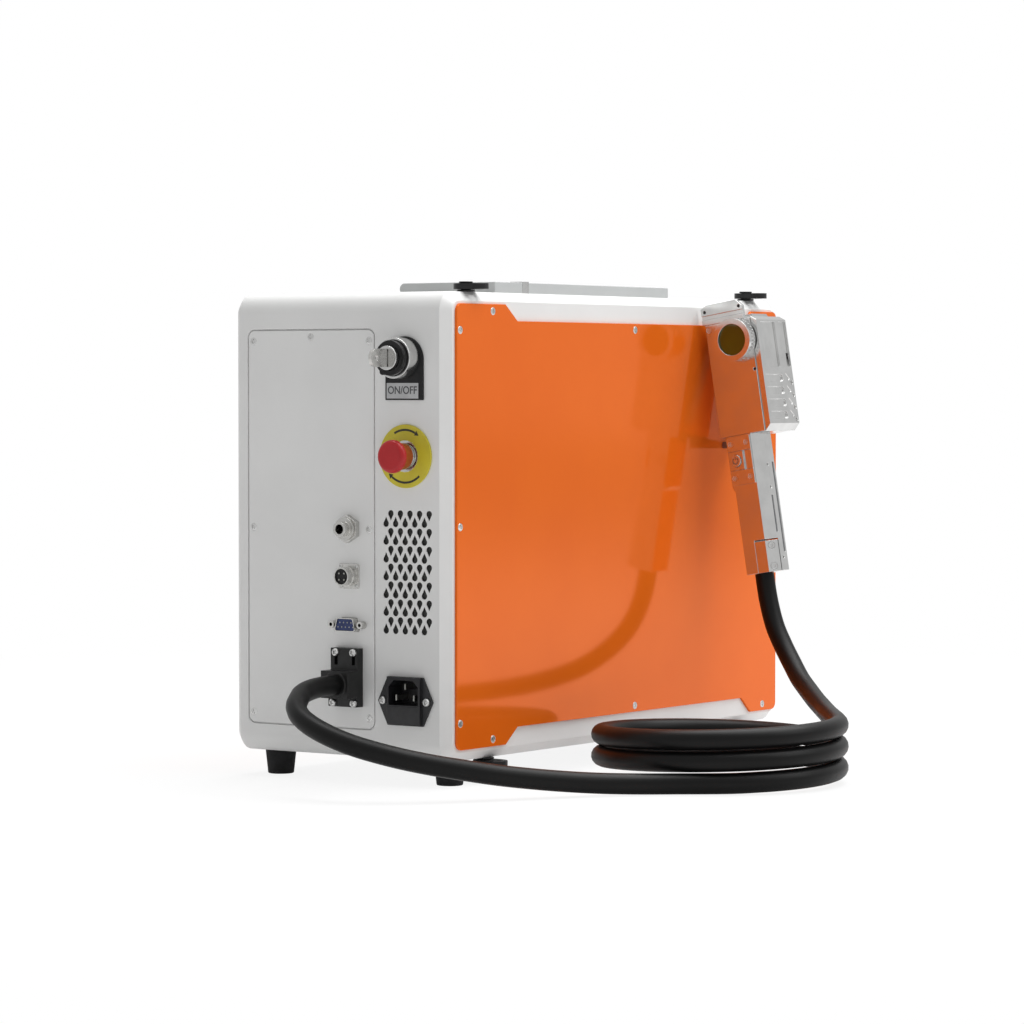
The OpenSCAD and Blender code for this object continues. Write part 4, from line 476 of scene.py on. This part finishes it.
def soften(node, name, material, radius):
    """A rounded copy of a CAD node, in mm; the plain node stays where the round fails."""
    source = frame["nodes"][node]
    bm = bmesh.new()
    bm.from_mesh(source.data)
    bmesh.ops.remove_doubles(bm, verts=bm.verts, dist=SAME_POINT)
    bmesh.ops.dissolve_limit(bm, angle_limit=FLAT, verts=bm.verts, edges=bm.edges)
    before = bm.calc_volume()
    sharp = [e for e in bm.edges if len(e.link_faces) == 2 and e.calc_face_angle(0) > SHARP]
    bmesh.ops.bevel(bm, geom=sharp, offset=radius * MM, segments=BEVEL_STEPS, profile=0.5,
                    affect="EDGES", clamp_overlap=False, material=-1)
    low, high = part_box(node)
    held = all(low[i] - SLACK <= v.co[i] <= high[i] + SLACK
               for v in bm.verts for i in range(3))
    change = abs(bm.calc_volume() / before - 1)
    if not held or change > MOST_CHANGE or not sharp:
        print("  kept as it is:", node, held, round(change, 4), len(sharp))
        bm.free()
        source.data.materials.clear()
        source.data.materials.append(material)
        return source
    mesh = bpy.data.meshes.new(name)
    bm.to_mesh(mesh)
    bm.free()
    return settle(shown(mesh, name, material, body_of(node), slot_of[node], node),
                  SHADED_SHARP)


# %% [markdown]
# The table gives each node its piece name, its finish and the round of its edges in mm:
# 0.6 on the handle's bar, 0.3 on milled aluminium and moulded plastic, 0.1 to 0.25 on thin
# plated parts. A node whose round would break its shape is kept as it is, and says so. The
# gun's screws, some inner parts and the fan's wires keep their CAD shape and only get
# their finish.

# %% Dress the nodes
dressed = {
    "shell": ("cabinet_shell", powder_coat_white, 0.25),
    "service_panel": ("service_cover", powder_coat_white, 0.3),
    "side_panel_right": ("side_cover_right", gloss_paint_orange, 0.35),
    "side_panel_left": ("side_cover_left", gloss_paint_orange, 0.35),
    "feet": ("rubber_feet", foot_rubber, 0.8),
    "handle_bail": ("handle_slab", handle_paint_grey, 0.6),
    "handle_pad": ("handle_marker", satin_chrome, 0.15),
    "handle_brackets": ("handle_hinges", bracket_zinc, 0.3),
    "key_legend_plate": ("legend_plate", satin_black_plastic, 0.3),
    "key_bezel": ("lock_bezel", satin_chrome, 0.5),
    "key_barrel": ("lock_barrel", gloss_black_plastic, 0.6),
    "key_rotor": ("lock_face", satin_chrome, 0.4),
    "key": ("lock_key", nickel_plate, 0.35),
    "estop_ring": ("stop_ring", stop_yellow_plastic, 0.3),
    "estop_bezel": ("stop_bezel", satin_chrome, 0.25),
    "estop_stem": ("stop_stem", stop_stem_painted_shade, 0.3),
    "estop_head": ("stop_head", stop_red_plastic, 0.3),
    "inlet_body": ("mains_inlet", inlet_black_plastic, 0.35),
    "fuse_drawer": ("mains_fuse_drawer", inlet_black_plastic, 0.3),
    "hose_block": ("hose_gland_block", black_anodised, 0.4),
    "dsub_shell": ("data_shell", nickel_plate, 0.12),
    "dsub_insert": ("data_insert", connector_blue_plastic, 0.12),
    "dsub_jackscrews": ("data_jackscrews", nickel_plate, 0.2),
    "connector_pins": ("contacts", dull_silver_plate, 0.1),
    "signal_socket": ("signal_shell", nickel_plate, 0.2),
    "signal_insert": ("signal_insert_disc", satin_black_plastic, 0.15),
    "gas_port": ("gas_nozzle", nickel_plate, 0.25),
    "gas_nut": ("gas_hex_nut", nickel_plate, 0.25),
    "strap_hubs": ("strap_posts", strap_black_coat, 0.4),
    "strap_ring_1": ("strap_eye_1", strap_black_coat, 0.5),
    "strap_ring_2": ("strap_eye_2", strap_black_coat, 0.5),
    "strap_ring_3": ("strap_eye_3", strap_black_coat, 0.5),
    "strap_ring_4": ("strap_eye_4", strap_black_coat, 0.5),
    "gun_holder": ("holder_bracket", bracket_zinc, 0.3),
    "gun_head": ("gun_body", blasted_aluminium, 0.35),
    "gun_cover": ("gun_side_cover", blasted_aluminium, 0.3),
    "gun_top_plate": ("gun_sight_plate", blasted_aluminium, 0.25),
    "lens_ring": ("gun_lens_ring", blasted_aluminium, 0.2),
    "gun_window": ("gun_glass", amber_glass, 0.3),
    "gun_grip": ("gun_handle", blasted_aluminium, 0.35),
    "button_plate": ("gun_button_plate", blasted_aluminium, 0.2),
    "gun_button": ("gun_trigger", turned_steel, 0.3),
    "hose_clamp": ("gun_hose_clamp", blasted_aluminium, 0.12),
    "galvo_motor": ("scan_motor", motor_black, 0.3),
    "galvo_mirror": ("scan_mirror", mirror_coat, 0.1),
    "fan_frame": ("fan_housing", satin_black_plastic, 0.4),
    "fan_rotor": ("fan_blades", satin_black_plastic, 0.2),
    "chassis_tray": ("inner_tray", zinc_coated_sheet, 0.3),
    "contact_blocks": ("switch_blocks", contact_block_plastic, 0.3),
}
plain = {
    "gun_screws": zinc_plated_steel,
    "laser_source": cast_aluminium, "power_supply": zinc_coated_sheet,
    "control_board": board_green, "fan_guard": bright_wire,
}
for node, look in dressed.items():
    soften(node, *look)
for node, material in plain.items():
    frame["nodes"][node].data.materials.clear()
    frame["nodes"][node].data.materials.append(material)
print(len(dressed) + len(plain), "nodes dressed")

# %% [markdown]
# The screws are zinc-plated, with a cross recess that narrows as it goes down. A real head
# has a faint crown and a small round at its rim, so each visible head is modelled: a
# circle and a cross are joined by one filled face, the cross is drawn down, and the rim
# gets a skirt and a bevel. The places come from the CAD screws, each one a solid apart.

# %% Shape of one cross-recess screw
CROSS = ((1, 1), (-1, 1), (-1, -1), (1, -1))   # the inner corners of a cross
ARM_SHARE, HALF_SHARE = 0.31, 0.1              # of the head: reach and half an arm
FLOOR_SHARE = 0.66                             # how much the recess narrows to its floor
RIM_STEPS, RIM_BEVEL_STEPS = 32, 3


def cross_screw(bm, place, head, skirt, crown, soft, deep):
    """A screw head in mm on a place matrix, whose z points out from the top of the rim."""
    new = len(bm.verts)
    rim = bmesh.ops.create_circle(bm, segments=RIM_STEPS, radius=head / 2)["verts"]
    rim_edges = list(dict.fromkeys(e for v in rim for e in v.link_edges))
    arm, half = head * ARM_SHARE, head * HALF_SHARE
    ring = []
    for sx, sy in CROSS:
        first, last = (sx * arm, sy * half), (sx * half, sy * arm)
        if sx * sy < 0:
            first, last = last, first
        ring += [bm.verts.new((*xy, crown))
                 for xy in (first, (sx * half, sy * half), last)]
    ring_edges = [bm.edges.new((ring[i - 1], ring[i])) for i in range(len(ring))]
    bmesh.ops.triangle_fill(bm, edges=rim_edges + ring_edges, use_beauty=True)
    floor_face = bm.faces.new(ring)
    sunk = bmesh.ops.extrude_face_region(bm, geom=[floor_face])["geom"]
    low = [v for v in sunk if isinstance(v, bmesh.types.BMVert)]
    bmesh.ops.delete(bm, geom=[floor_face], context="FACES_ONLY")
    bmesh.ops.translate(bm, verts=low, vec=(0, 0, -deep))
    bmesh.ops.scale(bm, verts=low, vec=(FLOOR_SHARE, FLOOR_SHARE, 1))
    # The recess's walls and floor take the second material, the painted shade.
    for face in {f for v in low for f in v.link_faces}:
        face.material_index = 1
    fall = bmesh.ops.extrude_edge_only(bm, edges=rim_edges)["geom"]
    foot = [v for v in fall if isinstance(v, bmesh.types.BMVert)]
    bmesh.ops.translate(bm, verts=foot, vec=(0, 0, -skirt))
    bmesh.ops.holes_fill(bm, edges=[e for e in fall if isinstance(e, bmesh.types.BMEdge)
                                    and e.is_boundary])
    bmesh.ops.bevel(bm, geom=rim_edges, offset=soft, segments=RIM_BEVEL_STEPS,
                    profile=0.5, affect="EDGES", clamp_overlap=True, material=-1)
    bm.verts.ensure_lookup_table()
    bmesh.ops.transform(bm, matrix=place, verts=bm.verts[new:])


# %% Screw heads on their places
USUAL_HEAD = 5.6                               # mm; crown and soft are given for it
HEAD_FIT = 0.985                               # a head is this much of its CAD head
SUNK = 0.3                                     # mm of head below the surface
DEEP_SHARE = 0.2                               # the recess's depth, of the head
TURN_STEP = 23                                 # degrees, so neighbours don't stand alike
SCREW_SHARP = radians(40)                      # shades the recess sharp, the rim round


def islands(node):
    """The lowest and highest corner of each separate solid of a CAD node, in order."""
    bm = bmesh.new()
    bm.from_mesh(frame["nodes"][node].data)
    bmesh.ops.remove_doubles(bm, verts=bm.verts, dist=SAME_POINT)
    left, boxes = set(bm.verts), []
    while left:
        group, edge = set(), [left.pop()]
        while edge:
            v = edge.pop()
            group.add(v)
            near = {e.other_vert(v) for e in v.link_edges} & left
            left -= near
            edge += near
        boxes.append((Vector([min(v.co[i] for v in group) for i in range(3)]),
                      Vector([max(v.co[i] for v in group) for i in range(3)])))
    bm.free()
    return sorted(boxes, key=lambda box: (*box[0], *box[1]))


def faces_out(low, high):
    """The side of the cabinet that a screw is in, as an outward direction."""
    centre = (low + high) / 2
    gaps = {(-1, 0, 0): low.x - shell_low.x, (1, 0, 0): shell_high.x - high.x,
            (0, -1, 0): low.y - shell_low.y, (0, 1, 0): shell_high.y - high.y,
            (0, 0, -1): abs(centre.z - shell_low.z)}
    return Vector(min(gaps, key=gaps.get))


def screws(node, name, skirt=0.0, crown=0.2, soft=0.25):
    """Detailed heads in place of CAD screws; skirt is a pan head's height share."""
    bm = bmesh.new()
    boxes = islands(node)
    for i, (low, high) in enumerate(boxes):
        out = faces_out(low, high)
        size = high - low
        head = max(size[k] for k in range(3) if not out[k]) / MM
        top = Vector([high[k] if out[k] > 0 else low[k] if out[k]
                      else (low[k] + high[k]) / 2 for k in range(3)])
        place = (Matrix.Translation(top)
                 @ out.to_track_quat("Z", "Y").to_matrix().to_4x4()
                 @ Matrix.Rotation(radians(TURN_STEP * i % 90), 4, "Z")
                 @ Matrix.Scale(MM, 4))
        cross_screw(bm, place, head * HEAD_FIT, head * skirt + SUNK,
                    crown * head / USUAL_HEAD, soft * head / USUAL_HEAD, head * DEEP_SHARE)
    bmesh.ops.recalc_face_normals(bm, faces=bm.faces)
    mesh = bpy.data.meshes.new(name)
    bm.to_mesh(mesh)
    bm.free()
    print(name, len(boxes), "heads")
    piece = shown(mesh, name, zinc_plated_steel, "cabinet", slot_of[node], node)
    # The second material is the painted shade of the cross recess.
    mesh.materials.append(recess_shade)
    return settle(piece, SCREW_SHARP)


screws("panel_screws", "cover_screws")
screws("connector_screws", "socket_screws", skirt=0.3, soft=0.9)
screws("pan_screws", "fan_and_foot_screws", skirt=0.3, soft=1.0)

# %% [markdown]
# Small marks make the machine readable. The grey tag under the key switch says ON/OFF, two
# bent arrows on the yellow ring show which way the red head turns, a bright ring lies at
# the foot of its stem, and the gun's button has the usual power sign. Each is a thin skin
# that is drawn flat, given a thickness and set on its surface.

# %% Places for small parts
def placed(at, right, up, out):
    """A place in metres whose own x, y and z, in mm, point to the right, up and out."""
    return (Matrix.Translation(at) @ Matrix((right, up, out)).transposed().to_4x4()
            @ Matrix.Scale(MM, 4))


def on_face(y, up, out):
    """A place on the connector face, in mm from its middle."""
    at = Vector((shell_low.x - out * MM, middle.y + y * MM, middle.z + up * MM))
    return placed(at, (0, -1, 0), (0, 0, 1), (-1, 0, 0))


LEAN = radians(9.3)                            # the gun leans towards the cabinet
ACROSS = Vector((0, cos(LEAN), -sin(LEAN)))    # towards the cabinet, across the gun
ALONG = Vector((0, sin(LEAN), cos(LEAN)))      # up the gun
LENS_RIM = (92.908, -129.5, 311.9)             # in mm, as spot takes them
BOW_STEPS = 24


def on_gun(x, y, up, front):
    """A place on the gun's front or outer side, in mm from the rim of its lens ring."""
    at = spot(*LENS_RIM) + (Vector((x, 0, 0)) + ACROSS * y + ALONG * up) * MM
    if front:
        return placed(at, -ACROSS, ALONG, (-1, 0, 0))
    return placed(at, (1, 0, 0), ALONG, -ACROSS)


def slab(bm, wide, high, x=0.0, y=0.0):
    """A flat rectangle in mm with its middle at x and y."""
    size = Matrix.Diagonal((wide, high, 1, 1))
    bmesh.ops.create_grid(bm, x_segments=1, y_segments=1, size=0.5,
                          matrix=Matrix.Translation((x, y, 0)) @ size)


def bow(bm, radius, wide, start, sweep):
    """A flat bent strip in mm round the origin: its start and its sweep in degrees."""
    turn = Matrix.Rotation(radians(start), 4, "Z")
    ends = [bm.verts.new(turn @ Vector((radius + s * wide / 2, 0, 0))) for s in (-1, 1)]
    edge = bm.edges.new(ends)
    bmesh.ops.spin(bm, geom=ends + [edge], cent=(0, 0, 0), axis=(0, 0, 1),
                   angle=radians(sweep), steps=BOW_STEPS)


def skin(bm, name, material, body, slot_name, place, thick):
    """Gives the flat faces a thickness in mm and shows them on a place."""
    top = bmesh.ops.extrude_face_region(bm, geom=bm.faces[:])["geom"]
    bmesh.ops.translate(bm, verts=[v for v in top if isinstance(v, bmesh.types.BMVert)],
                        vec=(0, 0, thick))
    bmesh.ops.recalc_face_normals(bm, faces=bm.faces)
    mesh = bpy.data.meshes.new(name)
    bm.to_mesh(mesh)
    bm.free()
    mesh.transform(place)
    print(name, len(mesh.polygons), "faces")
    return settle(shown(mesh, name, material, body, slot_name))


# %% Tag under the key switch
CABINET_W, CABINET_H = 188, 325                # mm, without the feet
KEY_Y, KEY_UP = 35.9 - CABINET_W / 2, CABINET_H * 0.3584
TAG_Y, TAG_UP = KEY_Y + 0.4, KEY_UP - 22.55    # the tag's middle, from the face's
TAG_W, TAG_H, TAG_THICK = 27.0, 10.7, 0.15
TAG_FOOT = 1.9                                 # how far its back stands off the face

bm = bmesh.new()
slab(bm, TAG_W, TAG_H)
skin(bm, "switch_tag", tag_grey_print, "cabinet", "legend_black",
     on_face(TAG_Y, TAG_UP, TAG_FOOT), TAG_THICK)

# %% Words on the tag
WORDS_W, WORDS_H, WORDS_UP = 24.8, 5.4, 0.45   # mm; a little above the tag's middle
WORDS_THICK = 0.1
BOLDER = 0.012                                 # in letter heights, added all round
LETTER_JOIN = 1e-5                             # points this close are one

words = bpy.data.curves.new("on_off", "FONT")
words.body = "ON/OFF"
words.offset = BOLDER
letters = as_mesh(words)
bm = bmesh.new()
bm.from_mesh(letters)
bpy.data.meshes.remove(letters)
bmesh.ops.remove_doubles(bm, verts=bm.verts, dist=LETTER_JOIN)
xs, ys = [v.co.x for v in bm.verts], [v.co.y for v in bm.verts]
mid = Vector(((min(xs) + max(xs)) / 2, (min(ys) + max(ys)) / 2, 0))
bmesh.ops.translate(bm, verts=bm.verts, vec=-mid)
bmesh.ops.scale(bm, verts=bm.verts,
                vec=(WORDS_W / (max(xs) - min(xs)), WORDS_H / (max(ys) - min(ys)), 1))
skin(bm, "switch_tag_words", letter_grey_print, "cabinet", "legend_black",
     on_face(TAG_Y, TAG_UP + WORDS_UP, TAG_FOOT + TAG_THICK), WORDS_THICK)

# %% Turn arrows on the yellow ring
STOP_Y, STOP_UP = 34.5 - CABINET_W / 2, CABINET_H * 0.15
RING_TOP = 1.5                                 # the yellow ring's face, off the cabinet's
ARROW_R, ARROW_W, ARROW_HEAD, ARROW_THICK = 18.2, 1.5, 2.3, 0.06
ARROWS = ((62, 58), (232, 80))                 # start and sweep, in degrees
HEAD_BEFORE = 4                                # degrees that a head lies before its start

bm = bmesh.new()
for start, sweep in ARROWS:
    bow(bm, ARROW_R, ARROW_W, start, sweep)
    tip = radians(start - HEAD_BEFORE)
    middle_of_head = Matrix.Translation((ARROW_R * cos(tip), ARROW_R * sin(tip), 0))
    bmesh.ops.create_circle(bm, cap_ends=True, segments=3, radius=ARROW_HEAD,
                            matrix=middle_of_head
                            @ Matrix.Rotation(tip + radians(180), 4, "Z"))
skin(bm, "stop_turn_arrows", mark_black_print, "cabinet", "stop_yellow",
     on_face(STOP_Y, STOP_UP, RING_TOP), ARROW_THICK)

# %% Bright ring at the foot of the red head's stem
FOOT_RING_R, FOOT_RING_W, FOOT_RING_THICK = 9.8, 2.3, 0.25
RING_JOIN = 1e-4                               # mm; closes the strip into a ring

bm = bmesh.new()
bow(bm, FOOT_RING_R, FOOT_RING_W, 0, 360)
bmesh.ops.remove_doubles(bm, verts=bm.verts, dist=RING_JOIN)
skin(bm, "stop_foot_ring", satin_chrome, "cabinet", "chromed_zinc",
     on_face(STOP_Y, STOP_UP, RING_TOP), FOOT_RING_THICK)

# %% Power sign on the gun's button
HEAD_X = 8.5                                   # the head's front, behind the lens rim
BUTTON_Y, BUTTON_UP = 14.2, -89.4              # the button's middle
BUTTON_OUT = 3.0                               # its face, before the head's front
SIGN_R, SIGN_LINE, SIGN_THICK = 2.3, 0.6, 0.05
SIGN_START, SIGN_SWEEP = 125, 290              # degrees; the ring is open at its top
STROKE, STROKE_UP = 2.2, 2.0                   # the upright stroke and its middle

bm = bmesh.new()
bow(bm, SIGN_R, SIGN_LINE, SIGN_START, SIGN_SWEEP)
slab(bm, SIGN_LINE, STROKE, 0, STROKE_UP)
skin(bm, "button_power_sign", letter_grey_print, "button", "button_steel",
     on_gun(HEAD_X - BUTTON_OUT, BUTTON_Y, BUTTON_UP, True), SIGN_THICK)

# %% [markdown]
# The two long grooves in the gun's handle get a darker floor than the blasted faces
# round them, painted shade for their depth, and a foam pad behind the vents keeps dust
# out, so the vents look dark grey and nothing inside shows through them.

# %% Groove floors with painted shade
HEAD_TOP, HEAD_LENGTH = 15, 85.5               # mm; its top, up from the lens
HEAD_LOW = HEAD_TOP - HEAD_LENGTH
GRIP_SIDE = -6.3                               # the grip's outer side, across from the lens
GROOVES = ((15, 2.5, 22.5, 68), (8, 2.5, 47.5, 28))    # back, width, down, length
GROOVE_DEEP = 1.0
CLEAR = 0.1                                    # a floor is smaller than its groove
FLOOR_THICK = 0.2

for number, (back, wide, down, length) in enumerate(GROOVES, 1):
    bm = bmesh.new()
    slab(bm, wide - CLEAR, length - CLEAR)
    place = on_gun(HEAD_X + back + wide / 2, GRIP_SIDE + GROOVE_DEEP,
                   HEAD_LOW - down - length / 2, False)
    skin(bm, f"handle_groove_shade_{number}", groove_shade, "gun", "gun_aluminium", place,
         FLOOR_THICK)

# %% Small holes, with painted shade inside
SIDE_HOLES = ((8.5, 24.5), (9, 41.5), (13.5, 94.5))    # back from the front, and down
SIDE_HOLE_R, SIDE_HOLE_DEEP = 1.0, 1.4
FRONT_HOLES = ((-11.4, -23.7, 1.1), (-4.8, 25.0, 1.2), (25.3, 25.0, 1.2))  # y, up, radius
FRONT_HOLE_DEEP, HOLE_STEPS = 1.0, 20

holes = [(on_gun(HEAD_X + back, GRIP_SIDE + SIDE_HOLE_DEEP, HEAD_LOW - down, False),
          SIDE_HOLE_R) for back, down in SIDE_HOLES]
holes += [(on_gun(HEAD_X + FRONT_HOLE_DEEP, y, up, True), radius)
          for y, up, radius in FRONT_HOLES]
# A black disc at each hole's floor is painted shade.
for number, (place, radius) in enumerate(holes, 1):
    bm = bmesh.new()
    bmesh.ops.create_circle(bm, cap_ends=True, segments=HOLE_STEPS,
                            radius=radius - CLEAR / 2)
    skin(bm, f"gun_hole_shade_{number}", black_anodised, "gun", "gun_aluminium", place,
         FLOOR_THICK)

# %% Filter pad behind the vents
PAD_W, PAD_H, PAD_THICK = 46, 90, 4.2
PAD_Y, PAD_UP = -60.5, -31.5                   # its middle, from the face's
PAD_BACK = 6.4                                 # how far its back lies behind the face

bm = bmesh.new()
slab(bm, PAD_W, PAD_H)
bmesh.ops.subdivide_edges(bm, edges=bm.edges, cuts=3, use_grid_fill=True)
skin(bm, "vent_filter_pad", filter_foam, "cabinet", "black_plastic",
     on_face(PAD_Y, PAD_UP, -PAD_BACK), PAD_THICK)

# %% [markdown]
# The light is that of a white studio. The surround and the far floor are white to the
# camera, so there is no horizon, and dimmer to everything else, so the object isn't washed
# out. A wide lamp overhead makes the top edges bright, and one at the side lights the gun
# and the painted panel. Near the object the floor still takes its shadow.

# %% Values of the studio
SURROUND, SHEEN = 0.36, 0.70                   # its strength as light, in reflections
BOUNCE = 0.2                                   # light that the floor gives off
FLOOR_GREY, FLOOR_WHITE = "cbcbcb", "f8f8f8"   # for other rays, for the camera
FLOOR_ROUGH = 0.9
SHADOW_END, WHITE_START = 0.4, 1.2             # metres from the floor's middle
LEAST_WHITE = 0.86                             # share of plain white in the shadow
FLOOR_HALF = 14                                # metres


def seen_directly(tree):
    """One where a ray comes from the camera, straight or through a clear surface."""
    path = add(tree, "LightPath")
    return add(tree, "Math", {"operation": "MAXIMUM"}, i0=path.outputs["Is Camera Ray"],
               i1=path.outputs["Is Transmission Ray"]).outputs[0]


# %% The surround
world = bpy.data.worlds.new("studio")
scene.world = world
world.use_nodes = True
sky = world.node_tree
dim = add(sky, "MapRange", Value=add(sky, "LightPath").outputs["Is Glossy Ray"],
          To_Min=SURROUND, To_Max=SHEEN).outputs["Result"]
level = add(sky, "MapRange", Value=seen_directly(sky), To_Min=dim, To_Max=1.0)
sky.nodes["Background"].inputs["Color"].default_value = (1, 1, 1, 1)
sky.links.new(level.outputs["Result"], sky.nodes["Background"].inputs["Strength"])
print("surround", SURROUND, "in reflections", SHEEN)

# %% The floor's paint
floor_white = bpy.data.materials.new("floor_white")
floor_white.use_nodes = True
tree = floor_white.node_tree
paint = tree.nodes["Principled BSDF"]
paint.inputs["Base Color"].default_value = tone(FLOOR_GREY)
paint.inputs["Roughness"].default_value = FLOOR_ROUGH
paint.inputs["Specular IOR Level"].default_value = 0.0
away = add(tree, "VectorMath", {"operation": "LENGTH"},
           i0=add(tree, "TexCoord").outputs["Object"])
share = add(tree, "MapRange", Value=away.outputs["Value"], From_Min=SHADOW_END,
            From_Max=WHITE_START, To_Min=LEAST_WHITE, To_Max=1.0).outputs["Result"]
white = add(tree, "Emission", Strength=1.0).outputs[0]
glow = add(tree, "Emission", Strength=BOUNCE).outputs[0]
matt = add(tree, "BsdfDiffuse", Color=tone(FLOOR_WHITE)).outputs[0]
seen = add(tree, "MixShader", i0=share, i1=matt, i2=white).outputs[0]
unseen = add(tree, "AddShader", i0=paint.outputs[0], i1=glow).outputs[0]
both = add(tree, "MixShader", i0=seen_directly(tree), i1=unseen, i2=seen).outputs[0]
tree.links.new(both, tree.nodes["Material Output"].inputs["Surface"])

# %% The floor
floor_mesh = bpy.data.meshes.new("studio_floor")
bm = bmesh.new()
bmesh.ops.create_grid(bm, x_segments=1, y_segments=1, size=FLOOR_HALF)
bm.to_mesh(floor_mesh)
bm.free()
floor_mesh.materials.append(floor_white)
floor = bpy.data.objects.new("studio_floor", floor_mesh)
scene.collection.objects.link(floor)
print("floor", 2 * FLOOR_HALF, "m wide, bounce", BOUNCE)


# %% Lamps
def lamp(name, at, aim, size, power):
    """A square soft lamp at one point, turned to face another."""
    light = bpy.data.lights.new(name, "AREA")
    light.size = size
    light.energy = power
    ob = bpy.data.objects.new(name, light)
    scene.collection.objects.link(ob)
    ob.location = at
    ob.rotation_euler = (Vector(aim) - Vector(at)).to_track_quat("-Z", "Y").to_euler()
    print(name, power, "W over", size, "m")


# Name, place and aim in metres, size in metres, power in watts.
lamp("soft_box_side", (0.9, -3.0, 2.6), (0.0, 0.0, 0.15), 2.2, 32)
lamp("soft_box_top", (0.9, -0.3, 3.0), (0.9, -0.3, 0.0), 3.0, 135)
scene.view_settings.view_transform = "Standard"
